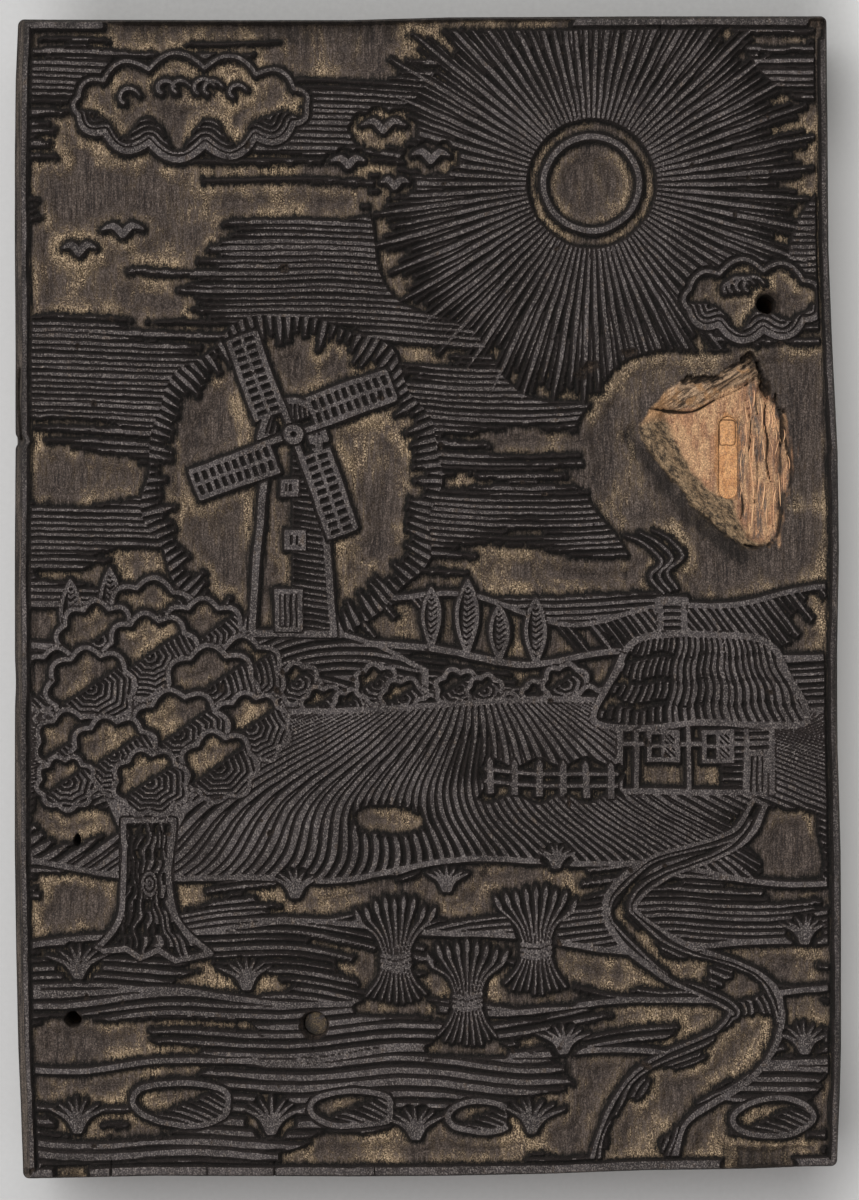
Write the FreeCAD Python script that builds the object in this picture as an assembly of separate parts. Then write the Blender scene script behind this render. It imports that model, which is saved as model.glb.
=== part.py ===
import FreeCAD, Part
import math
import os

Vector = FreeCAD.Vector

# Frame: millimetres, +Z up out of the printing face, +Y towards the head of the picture.
# The origin is the middle of the back face, which the block lies on.

# Plank: its outer box, and how far its corners stand in from that box
plank_width = 118.0
plank_length = 166.1
plank_thickness = 23.3
head_left_inset = 0.9
head_right_inset = 1.7
foot_left_inset = 1.6
foot_right_rise = 1.4
head_left_drop = 0.4
right_side_bow = 0.4
corner_radius = 0.9

# Shoulder: the sloping band outside the border, wider along the left side
shoulder_drop = 1.6
left_shoulder_width = 1.6
narrow_shoulder_width = 0.6

# Relief: what is cut away between the parts that print
border_width = 0.95
border_groove_width = 0.7
clearing_depth = 2.2
groove_depth = 0.7
line_width = 0.5
line_pitch = 1.0
outline_width = 0.95
shortest_groove = 2.0
bump_share = 0.3
overrun = 1.0
upright_lean_share = 0.001

# Worn places in the border: how deep they are, and where they start and stop along the edge
border_wear_depth = 0.9
head_gap_shares = [(0.095, 0.675), (0.962, 0.984)]
foot_gap_shares = [(0.028, 0.085), (0.860, 0.955)]

# Sun: a ring with rays
sun_place_shares = (0.70, 0.858)
sun_radius = 7.1
sun_ring_width = 0.9
sun_halo_width = 1.5
ray_count = 60
ray_long = 30.0
ray_short = 21.0
ray_groove_share = 0.5

# Clouds: middle in shares of the picture, half length and half height
cloud_places_shares = [(0.20, 0.925), (0.90, 0.757)]
cloud_half_lengths = [16.5, 9.5]
cloud_half_heights = [5.5, 4.2]
cloud_bumps = [13, 9]

# Windmill: hub in shares of the picture, tower and sails
mill_hub_shares = (0.327, 0.640)
mill_halo_length = 21.0
mill_halo_height = 23.5
mill_halo_drop = 6.5
tower_top_half = 3.6
tower_foot_half = 6.0
tower_height = 28.5
tower_wall = 1.0
sail_length = 15.5
sail_width = 4.0
sail_bar = 0.7
sail_tilt = 20.0
sail_count = 4
sail_rungs = 5

# Open sky round the broken-out hollow, as an outline in shares of the picture
open_sky_shares = [
    (0.712, 0.692), (0.786, 0.710), (0.886, 0.712), (0.976, 0.700), (0.976, 0.500),
    (0.923, 0.487), (0.836, 0.496), (0.761, 0.531), (0.712, 0.565), (0.681, 0.627),
]

# Cottage: roof corners and wall corners in shares of the picture
roof_shares = [(0.705, 0.398), (0.755, 0.462), (0.920, 0.462), (0.965, 0.398)]
wall_shares = [(0.735, 0.335), (0.735, 0.390), (0.925, 0.390), (0.925, 0.335)]
window_shares = [(0.780, 0.370), (0.860, 0.370)]
window_size = 4.2
roof_lines = 18

# Oak: leaf clusters as middle in shares of the picture and radius, and a trunk
cluster_places_shares = [
    (0.075, 0.420), (0.150, 0.448), (0.225, 0.420), (0.262, 0.372), (0.185, 0.380),
    (0.105, 0.362), (0.052, 0.372),
]
cluster_radii = [5.4, 5.8, 5.6, 4.8, 6.0, 5.4, 3.6]
cluster_highlight_share = 0.5
cluster_bumps = 7
cluster_arcs = 3
shade_first_angle = -130.0
shade_last_angle = 30.0
trunk_foot_shares = (0.145, 0.195)
trunk_height = 17.0
trunk_half_width = 3.4
trunk_flare = 2.2
trunk_lines = 7

# Ploughed field: furrows that fan out from a far point
furrow_far_shares = (0.560, 0.440)
furrow_near_rise_share = 0.262
furrow_first_share = 0.30
furrow_last_share = 0.72
furrow_count = 15
furrow_start_share = 0.22

# Stream: its middle line in shares of the picture, from far to near, and its half widths
stream_shares = [
    (0.700, 0.300), (0.800, 0.285), (0.880, 0.250), (0.840, 0.205), (0.760, 0.165),
    (0.800, 0.120), (0.900, 0.100), (0.985, 0.095),
]
stream_far_half = 1.2
stream_near_half = 4.5
ripple_length = 5.0

# Sheaves of grain: band place in shares of the picture
sheaf_places_shares = [(0.455, 0.185), (0.545, 0.150), (0.630, 0.195)]
sheaf_height = 14.0
sheaf_half_width = 4.2
sheaf_waist_half = 1.6
sheaf_lines = 7

# Stones in the foreground: middle in shares of the picture, half length and half height
stone_places_shares = [(0.190, 0.060), (0.400, 0.055), (0.560, 0.048), (0.900, 0.050)]
stone_half_lengths = [7.0, 6.0, 4.5, 6.5]
stone_half_heights = [3.0, 2.6, 2.2, 3.0]

# Straight hatching: low and high end of each field of level lines in shares, and their pitch
hatch_fields_shares = [(0.472, 0.990), (0.160, 0.472), (0.015, 0.160)]
hatch_pitches = [1.0, 2.0, 1.0]

# Nail holes: right through the plank, wider at the top where the wood has chipped
upper_nail_hole_shares = (0.919, 0.754)
upper_nail_hole_radius = 1.4
upper_nail_hole_funnel = 0.6
lower_nail_hole_shares = (0.0525, 0.132)
lower_nail_hole_radius = 1.2
lower_nail_hole_funnel = 0.3
funnel_depth = 0.8

# Beetle hole: blind, oval and slanting down from the face
beetle_hole_shares = (0.058, 0.288)
beetle_hole_radius = 0.6
beetle_hole_depth = 6.0
beetle_hole_slant = 20.0

# Peg: a short round of wood driven into a blind hole, a little below the face
peg_shares = (0.3555, 0.128)
peg_radius = 1.7
peg_length = 11.0
peg_sink = 1.3
peg_clearance = 0.04
peg_dome = 0.25

# Broken-out hollow in the open sky: its rim, its floor below the cleared wood round it,
# and the beetle gallery in that floor
hollow_rim_shares = [
    (0.764, 0.656), (0.819, 0.691), (0.893, 0.702), (0.947, 0.650), (0.954, 0.611),
    (0.947, 0.581), (0.928, 0.542), (0.887, 0.540), (0.831, 0.572), (0.762, 0.636),
]
hollow_depth = 1.4
hollow_floor_share = 0.68
gallery_shares = (0.8725, 0.621)
gallery_width = 2.7
gallery_length = 11.8
gallery_depth = 1.6
gallery_clearance = 0.04


def picture_box():
    """Low and high corners of the area inside the border, as x, y pairs."""
    left = -plank_width / 2 + left_shoulder_width + foot_left_inset / 2
    right = plank_width / 2 - narrow_shoulder_width - head_right_inset / 2
    low = -plank_length / 2 + narrow_shoulder_width + foot_right_rise / 2
    high = plank_length / 2 - narrow_shoulder_width - head_left_drop / 2
    return left, right, low, high


def on_face(shares, height=plank_thickness):
    """Point of the picture at shares of its width and height."""
    left, right, low, high = picture_box()
    across, up = shares
    return Vector(left + across * (right - left), low + up * (high - low), height)


def line(start, end):
    return Part.LineSegment(start, end).toShape()


def arc(start, middle, end):
    return Part.Arc(start, middle, end).toShape()


def polygon_face(points):
    return Part.Face(Part.Wire(Part.makePolygon(points + points[:1]).Edges))


def ellipse_face(middle, half_length, half_height):
    """Flat ellipse, long way along the larger half."""
    if half_length >= half_height:
        curve = Part.Ellipse(middle, half_length, half_height)
        return Part.Face(Part.Wire([curve.toShape()]))
    curve = Part.Ellipse(middle, half_height, half_length)
    face = Part.Face(Part.Wire([curve.toShape()]))
    face.rotate(middle, Vector(0, 0, 1), 90)
    return face


def scalloped_face(middle, half_length, half_height, bumps):
    """Ellipse whose edge is a ring of outward arcs, as on a cloud or a bunch of leaves."""
    corners = []
    for bump in range(bumps):
        angle = 2 * math.pi * bump / bumps
        across, up = half_length * math.cos(angle), half_height * math.sin(angle)
        corners.append(middle + Vector(across, up, 0))
    edges = []
    for bump in range(bumps):
        start, end = corners[bump], corners[(bump + 1) % bumps]
        chord = end - start
        outward = Vector(chord.y, -chord.x, 0) * bump_share
        edges.append(arc(start, (start + end) * (1 / 2) + outward, end))
    return Part.Face(Part.Wire(edges))


def outline_wire(inset_left, inset_other, height):
    """Plank outline: straight head and foot, bowed long sides, rounded corners."""
    left = -plank_width / 2 + inset_left
    right = plank_width / 2 - inset_other
    low = -plank_length / 2 + inset_other
    high = plank_length / 2 - inset_other
    head_left = Vector(left + head_left_inset, high - head_left_drop, height)
    head_right = Vector(right - head_right_inset, high, height)
    foot_right = Vector(right, low + foot_right_rise, height)
    foot_left = Vector(left + foot_left_inset, low, height)
    right_middle = (head_right + foot_right) * (1 / 2) + Vector(right_side_bow, 0, 0)
    left_middle = Vector(left, 0, height)
    sides = [
        line(head_left, head_right),
        arc(head_right, right_middle, foot_right),
        line(foot_right, foot_left),
        arc(foot_left, left_middle, head_left),
    ]
    return Part.Wire(sides)


def plank_blank():
    """Plank with its shoulder: a straight body and a ruled slope up to the printing face."""
    shoulder_height = plank_thickness - shoulder_drop
    foot = Part.Face(outline_wire(0, 0, 0))
    body = foot.extrude(Vector(0, 0, shoulder_height))
    uprights = [edge for edge in body.Edges if is_upright(edge)]
    body = body.makeFillet(corner_radius, uprights)
    low_face = max(body.Faces, key=lambda face: face.CenterOfMass.z)
    low_wire = low_face.OuterWire
    top_face = Part.Face(outline_wire(left_shoulder_width, narrow_shoulder_width, plank_thickness))
    tall = top_face.extrude(Vector(0, 0, -plank_thickness))
    top_corners = [edge for edge in tall.Edges if is_upright(edge)]
    tall = tall.makeFillet(corner_radius, top_corners)
    high_face = max(tall.Faces, key=lambda face: face.CenterOfMass.z)
    slope = Part.makeLoft([low_wire, high_face.OuterWire], True, True)
    return body.fuse(slope).removeSplitter(), high_face


def is_upright(edge):
    """True for a straight edge that runs along Z."""
    first, last = edge.Vertexes[0].Point, edge.Vertexes[-1].Point
    level = math.hypot(last.x - first.x, last.y - first.y)
    rise = abs(last.z - first.z)
    return rise > overrun and level < rise * upright_lean_share


def border_faces(high_face):
    """Groove that sets the border ridge apart, and the worn gaps in the ridge."""
    ridge_inner = high_face.OuterWire.makeOffset2D(-border_width)
    groove_inner = high_face.OuterWire.makeOffset2D(-border_width - border_groove_width)
    groove = Part.Face(ridge_inner).cut(Part.Face(groove_inner))
    left, right, low, high = picture_box()
    gaps = []
    reach = border_width + border_groove_width
    for edge_y, inward, gap_shares in ((high, -1, head_gap_shares), (low, 1, foot_gap_shares)):
        for first, last in gap_shares:
            start = left + first * (right - left)
            stop = left + last * (right - left)
            outside = edge_y - inward * overrun
            inside = edge_y + inward * reach
            gaps.append(polygon_face([
                Vector(start, outside, plank_thickness), Vector(stop, outside, plank_thickness),
                Vector(stop, inside, plank_thickness), Vector(start, inside, plank_thickness),
            ]))
    return groove, gaps


def picture_face(high_face):
    """Flat area inside the border groove."""
    inner = high_face.OuterWire.makeOffset2D(-border_width - border_groove_width)
    return Part.Face(inner)


def band(start, end, half_start, half_end):
    """Straight strip from start to end whose half width changes along it."""
    along = (end - start).normalize()
    side = Vector(-along.y, along.x, 0)
    return polygon_face([
        start + side * half_start, end + side * half_end,
        end - side * half_end, start - side * half_start,
    ])


def disc_face(middle, radius):
    circle = Part.Circle(middle, Vector(0, 0, 1), radius)
    return Part.Face(Part.Wire([circle.toShape()]))


# Each motif below gives three lists: flat faces of its deep clearings, its shallow grooves as
# a middle line with the half widths at both ends, and flat faces of the zone that it covers,
# where nothing behind it shows


def hole_motif():
    """Plain wood kept round each hole."""
    places = [
        (upper_nail_hole_shares, upper_nail_hole_radius + upper_nail_hole_funnel),
        (lower_nail_hole_shares, lower_nail_hole_radius + lower_nail_hole_funnel),
        (peg_shares, peg_radius),
        (beetle_hole_shares, beetle_hole_radius + beetle_hole_radius),
    ]
    zones = [disc_face(on_face(shares), radius + line_width) for shares, radius in places]
    return [], [], zones


def sun_motif():
    """Cleared disc and halo, and the wedges between the rays."""
    middle = on_face(sun_place_shares)
    disc = disc_face(middle, sun_radius - sun_ring_width)
    halo_radius = sun_radius + sun_halo_width
    halo = disc_face(middle, halo_radius).cut(disc_face(middle, sun_radius))
    wedges = []
    start = halo_radius + line_width
    for ray in range(ray_count):
        angle = 2 * math.pi * ray / ray_count
        way = Vector(math.cos(angle), math.sin(angle), 0)
        length = ray_long if ray % 2 else ray_short
        half = math.pi * start / ray_count * ray_groove_share
        wedges.append((line(middle + way * start, middle + way * length), half, line_width / 3))
    return [disc, halo], wedges, [disc_face(middle, ray_long)]


def cloud_motif(index):
    middle = on_face(cloud_places_shares[index])
    half_length = cloud_half_lengths[index]
    half_height = cloud_half_heights[index]
    bumps = cloud_bumps[index]
    cloud = scalloped_face(middle, half_length, half_height, bumps)
    zone = scalloped_face(middle, half_length + outline_width, half_height + outline_width, bumps)
    return [cloud], [], [zone]


def mill_motif():
    """Cleared sky round the windmill, less its tower walls and its lattice sails."""
    hub = on_face(mill_hub_shares)
    middle = hub - Vector(0, mill_halo_drop, 0)
    halo = ellipse_face(middle, mill_halo_length, mill_halo_height)
    zone = ellipse_face(
        middle, mill_halo_length + outline_width, mill_halo_height + outline_width)
    foot_y = hub.y - tower_height
    standing = [tower_face(hub, foot_y, 0).cut(tower_face(hub, foot_y, tower_wall))]
    for sail in range(sail_count):
        angle = math.radians(sail_tilt + 360 * sail / sail_count)
        standing += sail_faces(hub, Vector(math.cos(angle), math.sin(angle), 0))
    return halo.cut(standing).Faces, [], [zone]


def tower_face(hub, foot_y, inset):
    height = hub.z
    return polygon_face([
        Vector(hub.x - tower_top_half + inset, hub.y - inset, height),
        Vector(hub.x + tower_top_half - inset, hub.y - inset, height),
        Vector(hub.x + tower_foot_half - inset, foot_y + inset, height),
        Vector(hub.x - tower_foot_half + inset, foot_y + inset, height),
    ])


def sail_faces(hub, way):
    """One sail: a stock, an outer rail and the rungs between them."""
    side = Vector(-way.y, way.x, 0) * sail_width
    root = way * tower_top_half
    bars = [
        band(hub, hub + way * sail_length, sail_bar / 2, sail_bar / 2),
        band(hub + root + side, hub + way * sail_length + side, sail_bar / 2, sail_bar / 2),
    ]
    for rung in range(sail_rungs):
        share = rung / (sail_rungs - 1)
        foot = hub + root + way * (sail_length - tower_top_half) * share
        bars.append(band(foot, foot + side, sail_bar / 2, sail_bar / 2))
    return bars


def open_sky_motif():
    """Plain cleared sky round the broken-out hollow."""
    sky = polygon_face([on_face(shares) for shares in open_sky_shares])
    return [sky], [], [grown_face(sky, outline_width)]


def grown_face(face, distance):
    return Part.Face(face.OuterWire.makeOffset2D(distance))


def cottage_motif():
    """Cleared wall with two standing windows, and the lines of the thatch."""
    wall = polygon_face([on_face(shares) for shares in wall_shares])
    windows = []
    for shares in window_shares:
        middle = on_face(shares)
        half = Vector(window_size / 2, 0, 0)
        windows.append(band(middle - half, middle + half, window_size / 2, window_size / 2))
    corners = [on_face(shares) for shares in roof_shares]
    eave_left, ridge_left, ridge_right, eave_right = corners
    thatch = []
    for index in range(roof_lines):
        share = (index + 1) / (roof_lines + 1)
        top = ridge_left + (ridge_right - ridge_left) * share - Vector(0, outline_width, 0)
        foot = eave_left + (eave_right - eave_left) * share + Vector(0, outline_width, 0)
        thatch.append((line(top, foot), line_width / 2, line_width))
    zone = [grown_face(polygon_face(corners), outline_width), grown_face(wall, outline_width)]
    return wall.cut(windows).Faces, thatch, zone


def leaf_motif(index):
    """One leaf cluster: a cleared highlight with arcs of shade round its lower right."""
    middle = on_face(cluster_places_shares[index])
    radius = cluster_radii[index]
    bright = radius * cluster_highlight_share
    arcs = []
    for ring in range(cluster_arcs):
        span = radius - (ring + 1 / 2) * line_pitch
        if span > bright * (1 + 2 / cluster_bumps) + line_width:
            arcs.append((shade_arc(middle, span), line_width / 2, line_width / 2))
    return [scalloped_face(middle, bright, bright, cluster_bumps)], arcs, [disc_face(middle, radius)]


def shade_arc(middle, radius):
    """Middle line of a groove round the lower right of a leaf cluster."""
    first, last = math.radians(shade_first_angle), math.radians(shade_last_angle)
    start = middle + Vector(math.cos(first), math.sin(first), 0) * radius
    end = middle + Vector(math.cos(last), math.sin(last), 0) * radius
    way = Vector(math.cos((first + last) / 2), math.sin((first + last) / 2), 0)
    return arc(start, middle + way * radius, end)


def trunk_motif():
    """Tree trunk with a flared foot and lines of bark."""
    foot = on_face(trunk_foot_shares)
    top = foot + Vector(0, trunk_height, 0)
    bark = []
    for index in range(trunk_lines):
        share = 2 * (index + 1 / 2) / trunk_lines - 1
        low = foot + Vector((trunk_half_width + trunk_flare) * share, outline_width, 0)
        high = top + Vector(trunk_half_width * share, 0, 0)
        bark.append((line(low, high), line_width / 2, line_width / 3))
    return [], bark, [band(foot, top, trunk_half_width + trunk_flare, trunk_half_width)]


def field_motif():
    """Ploughed field: furrows that widen from the far point to the near edge."""
    far = on_face(furrow_far_shares)
    furrows = []
    corners = []
    for index in range(furrow_count):
        share = index / (furrow_count - 1)
        across = furrow_first_share + (furrow_last_share - furrow_first_share) * share
        near = on_face((across, furrow_near_rise_share))
        start = far + (near - far) * furrow_start_share
        furrows.append((line(start, near), line_width / 3, line_width / 2))
        if index in (0, furrow_count - 1):
            corners += [start, near]
    far_left, near_left, far_right, near_right = corners
    zone = polygon_face([far_left, far_right, near_right, near_left])
    return [], furrows, [grown_face(zone, outline_width)]


def stream_motif():
    """Winding water between two banks, with lens-shaped ripples left standing."""
    middles = [on_face(shares) for shares in stream_shares]
    water = stream_face(middles, 0)
    ripples = []
    for middle in middles[1:-1]:
        half = Vector(ripple_length / 2, 0, 0)
        ripples.append(lens_face(middle - half, middle + half, line_width / 2))
    return water.cut(ripples).Faces, [], [stream_face(middles, outline_width)]


def stream_face(middles, growth):
    """Flat strip along the stream, a little wider at each step towards the viewer."""
    left_bank = []
    right_bank = []
    for index, middle in enumerate(middles):
        half = stream_far_half + (stream_near_half - stream_far_half) * index / (len(middles) - 1)
        before = middles[max(index - 1, 0)]
        after = middles[min(index + 1, len(middles) - 1)]
        along = (after - before).normalize()
        side = Vector(-along.y, along.x, 0) * (half + growth)
        left_bank.append(middle + side)
        right_bank.append(middle - side)
    down = Part.BSplineCurve()
    down.interpolate(left_bank)
    back = Part.BSplineCurve()
    back.interpolate(right_bank[::-1])
    edges = [
        down.toShape(), line(left_bank[-1], right_bank[-1]),
        back.toShape(), line(right_bank[0], left_bank[0]),
    ]
    return Part.Face(Part.Wire(edges))


def lens_face(start, end, half):
    along = (end - start).normalize()
    side = Vector(-along.y, along.x, 0) * half
    middle = (start + end) * (1 / 2)
    return Part.Face(Part.Wire([arc(start, middle + side, end), arc(end, middle - side, start)]))


def sheaf_motif(index):
    """Stalks of one sheaf, above and below the band that ties it."""
    tie = on_face(sheaf_places_shares[index])
    stalks = []
    for stalk in range(sheaf_lines):
        share = 2 * stalk / (sheaf_lines - 1) - 1
        for way in (1, -1):
            near = tie + Vector(sheaf_waist_half * share, way * line_pitch, 0)
            rise = sheaf_height / 2 * (1 - share * share / 4)
            far = tie + Vector(sheaf_half_width * share, way * rise, 0)
            stalks.append((line(near, far), line_width / 3, line_width / 2))
    zone = ellipse_face(tie, sheaf_half_width + outline_width, sheaf_height / 2 + outline_width)
    return [], stalks, [zone]


def stone_motif(index):
    middle = on_face(stone_places_shares[index])
    half_length, half_height = stone_half_lengths[index], stone_half_heights[index]
    zone = ellipse_face(middle, half_length + outline_width, half_height + outline_width)
    return [ellipse_face(middle, half_length, half_height)], [], [zone]


def hatch_motif(index):
    """Level grooves right across the picture, at one pitch from low to high."""
    low, high = hatch_fields_shares[index]
    first = on_face((0, low))
    last = on_face((1, high))
    pitch = hatch_pitches[index]
    half = (line_pitch - line_width) / 2
    grooves = []
    for row in range(int((last.y - first.y) / pitch)):
        rise = first.y + (row + 1 / 2) * pitch
        start = Vector(first.x, rise, plank_thickness)
        end = Vector(last.x, rise, plank_thickness)
        grooves.append((line(start, end), half, half))
    return [], grooves, []


def all_motifs():
    """Every motif of the picture, the nearest first."""
    motifs = [stone_motif(index) for index in range(len(stone_places_shares))]
    motifs += [hole_motif()]
    motifs += [sheaf_motif(index) for index in range(len(sheaf_places_shares))]
    motifs += [leaf_motif(index) for index in range(len(cluster_places_shares))]
    motifs += [trunk_motif(), cottage_motif(), stream_motif(), field_motif(), mill_motif()]
    motifs += [open_sky_motif()]
    motifs += [cloud_motif(index) for index in range(len(cloud_places_shares))]
    motifs += [sun_motif()]
    motifs += [hatch_motif(index) for index in range(len(hatch_fields_shares))]
    return motifs


def visible_faces(motifs, inside):
    """Clearings and grooves of all motifs, each trimmed by the zones in front of it."""
    clearings = []
    grooves = []
    zones = []
    for deep, shallow, zone in motifs:
        if deep:
            clearings += trimmed(deep, inside, zones).Faces
        for middle_line, half_start, half_end in shallow:
            for piece in trimmed([middle_line], inside, zones).Edges:
                if piece.Length > shortest_groove:
                    grooves.append(groove_face(piece, middle_line, half_start, half_end))
        zones += zone
    return clearings, grooves


def trimmed(shapes, inside, zones):
    kept = Part.Compound(shapes).common(inside)
    if zones:
        kept = kept.cut(zones)
    return kept


def groove_face(piece, whole, half_start, half_end):
    """Flat groove along what is left of its middle line, a line width short at each end."""
    first = piece.valueAt(piece.getParameterByLength(line_width))
    last = piece.valueAt(piece.getParameterByLength(piece.Length - line_width))
    origin = whole.Vertexes[0].Point
    if first.distanceToPoint(origin) > last.distanceToPoint(origin):
        first, last = last, first
    if isinstance(piece.Curve, Part.Circle):
        middle = piece.valueAt(piece.getParameterByLength(piece.Length / 2))
        return arc_band(piece.Curve.Center, piece.Curve.Radius, first, middle, last, half_start)
    spread = (half_end - half_start) / whole.Length
    start_half = half_start + spread * first.distanceToPoint(origin)
    end_half = half_start + spread * last.distanceToPoint(origin)
    return band(first, last, start_half, end_half)


def arc_band(centre, radius, first, middle, last, half):
    """Strip of even width along an arc."""
    def moved(point, distance):
        return centre + (point - centre) * ((radius + distance) / radius)

    outer = arc(moved(first, half), moved(middle, half), moved(last, half))
    inner = arc(moved(last, -half), moved(middle, -half), moved(first, -half))
    first_end = line(moved(first, -half), moved(first, half))
    last_end = line(moved(last, half), moved(last, -half))
    return Part.Face(Part.Wire([first_end, outer, last_end, inner]))


def cutter(faces, depth):
    """Solids that reach from above the face down to the depth."""
    solids = []
    for face in faces:
        lifted = face.copy()
        lifted.translate(Vector(0, 0, overrun))
        solids += lifted.extrude(Vector(0, 0, -depth - overrun)).Solids
    return solids


def upright_hole(shares, radius, low, high):
    return Part.makeCylinder(radius, high - low, on_face(shares, low))


def cleared_height():
    """Level of the deep clearings."""
    return plank_thickness - clearing_depth


def nail_hole(shares, radius, funnel, surface):
    """Hole right through, with a chipped funnel at the surface it comes out of."""
    top = plank_thickness + overrun
    mouth = surface - funnel_depth
    hole = upright_hole(shares, radius, -overrun, top)
    cone = Part.makeCone(radius, radius + funnel, funnel_depth, on_face(shares, mouth))
    return hole.fuse([cone, upright_hole(shares, radius + funnel, surface, top)])


def hollow_solids():
    """Broken-out hollow: walls that slope from the rim to a smaller floor, open above."""
    rim = [on_face(shares, cleared_height()) for shares in hollow_rim_shares]
    middle = sum(rim, Vector(0, 0, 0)) * (1 / len(rim))
    floor = []
    for point in rim:
        inward = middle + (point - middle) * hollow_floor_share
        floor.append(inward - Vector(0, 0, hollow_depth))
    wires = []
    for points in (rim, floor):
        wires.append(Part.Wire(Part.makePolygon(points + points[:1]).Edges))
    above = polygon_face(rim).extrude(Vector(0, 0, clearing_depth + overrun))
    return [Part.makeLoft(wires, True, True), above]


def gallery_shape(clearance):
    """Slot with round ends in the floor of the hollow, or the filling that fits in it."""
    half = gallery_width / 2 - clearance
    reach = gallery_length / 2 - gallery_width / 2
    x, y, z = on_face(gallery_shares, cleared_height() - hollow_depth - gallery_depth)
    top_right = Vector(x + half, y + reach, z)
    top_left = Vector(x - half, y + reach, z)
    low_left = Vector(x - half, y - reach, z)
    low_right = Vector(x + half, y - reach, z)
    edges = [
        arc(top_right, Vector(x, y + reach + half, z), top_left),
        line(top_left, low_left),
        arc(low_left, Vector(x, y - reach - half, z), low_right),
        line(low_right, top_right),
    ]
    return Part.Face(Part.Wire(edges)).extrude(Vector(0, 0, gallery_depth))


def beetle_hole():
    hole = upright_hole(
        beetle_hole_shares, beetle_hole_radius,
        cleared_height() - beetle_hole_depth, plank_thickness + overrun)
    hole.rotate(on_face(beetle_hole_shares), Vector(1, 0, 0), beetle_hole_slant)
    return hole


def peg_seat_height():
    """Level of the bottom of the peg hole, which the peg stands on."""
    return plank_thickness - peg_sink - peg_length


def make_plank():
    """The whole plank: blank, relief, holes and hollow."""
    blank, high_face = plank_blank()
    border_groove, border_gaps = border_faces(high_face)
    clearings, grooves = visible_faces(all_motifs(), picture_face(high_face))
    cut_away = cutter(clearings, clearing_depth)
    cut_away += cutter(grooves, groove_depth)
    cut_away += cutter([border_groove], groove_depth)
    holes = [
        nail_hole(
            upper_nail_hole_shares, upper_nail_hole_radius, upper_nail_hole_funnel,
            cleared_height()),
        nail_hole(
            lower_nail_hole_shares, lower_nail_hole_radius, lower_nail_hole_funnel,
            plank_thickness),
        upright_hole(peg_shares, peg_radius, peg_seat_height(), plank_thickness + overrun),
        beetle_hole(),
        gallery_shape(0),
    ]
    holes += hollow_solids()
    holes += cutter(border_gaps, border_wear_depth)
    return blank.cut(holes).cut(Part.Compound(cut_away))


def make_peg():
    """Round peg, slightly domed on top, standing on the bottom of its hole."""
    radius = peg_radius - peg_clearance
    low = peg_seat_height()
    shoulder = low + peg_length - peg_dome
    body = upright_hole(peg_shares, radius, low, shoulder)
    dome = Part.makeCone(radius, radius - peg_dome, peg_dome, on_face(peg_shares, shoulder))
    return body.fuse(dome)


def make_gallery_filling():
    return gallery_shape(gallery_clearance)


def save(shape, name):
    """Writes one solid to its own file, and prints what it measures."""
    solids = shape.Solids
    box = shape.BoundBox
    print(name, "solids", len(solids), "faces", len(shape.Faces), "valid", shape.isValid(),
          "volume", round(shape.Volume, 1),
          "box", round(box.XMin, 2), round(box.XMax, 2), round(box.YMin, 2), round(box.YMax, 2),
          round(box.ZMin, 2), round(box.ZMax, 2))
    solids[0].exportStep(os.path.join("parts", name + ".step"))


os.makedirs("parts", exist_ok=True)
save(make_plank(), "carved_plank")
save(make_peg(), "wooden_peg")
save(make_gallery_filling(), "gallery_filling")
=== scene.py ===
import bpy
import math
import time
import numpy as np
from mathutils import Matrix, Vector


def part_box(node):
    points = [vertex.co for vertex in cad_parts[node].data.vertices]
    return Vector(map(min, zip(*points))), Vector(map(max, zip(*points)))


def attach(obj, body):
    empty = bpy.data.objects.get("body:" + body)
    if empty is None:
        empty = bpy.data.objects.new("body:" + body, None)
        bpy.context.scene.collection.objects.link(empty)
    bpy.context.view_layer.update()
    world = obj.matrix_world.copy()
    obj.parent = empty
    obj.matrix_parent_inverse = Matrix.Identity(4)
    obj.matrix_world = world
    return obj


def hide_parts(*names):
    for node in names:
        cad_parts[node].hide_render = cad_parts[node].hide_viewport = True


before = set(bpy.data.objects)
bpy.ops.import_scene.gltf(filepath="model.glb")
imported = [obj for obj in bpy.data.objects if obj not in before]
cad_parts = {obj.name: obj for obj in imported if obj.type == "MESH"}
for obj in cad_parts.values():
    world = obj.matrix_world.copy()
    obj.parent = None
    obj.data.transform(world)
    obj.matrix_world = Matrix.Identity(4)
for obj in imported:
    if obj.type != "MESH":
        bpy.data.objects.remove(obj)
started = time.time()
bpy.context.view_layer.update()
scene = bpy.context.scene
randoms = np.random.default_rng


def report(stage):
    print(f"{stage}: {time.time() - started:.1f} s")


mm = 0.001  # in metres
plankLow, plankHigh = [np.array(corner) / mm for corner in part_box("carved_plank")]
pegLow, pegHigh = [np.array(corner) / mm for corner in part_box("wooden_peg")]
fillLow, fillHigh = [np.array(corner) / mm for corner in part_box("gallery_filling")]

plank = dict(
    halfWidth=(plankHigh[0] - plankLow[0]) / 2,
    halfLength=(plankHigh[1] - plankLow[1]) / 2,
    top=plankHigh[2],
    columns=694,  # grid lines across, and along: about 0.17 mm apart
    lines=979,
    stretchZone=6.0,  # outer band in which the grid bends to follow the outline
    cornerRound=0.9,
    shoulderDrop=1.55,  # the sloping band outside the border
    shoulders=dict(left=1.15, right=0.38, foot=0.36, head=0.62),
    tileFloor=17.0,  # under side of the face tiles, inside the plank
    skirt=1.0,  # how far the hidden joints stand in from the outline
)
picture = dict(left=-56.6, right=57.55, low=-81.75, high=82.25)

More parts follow.
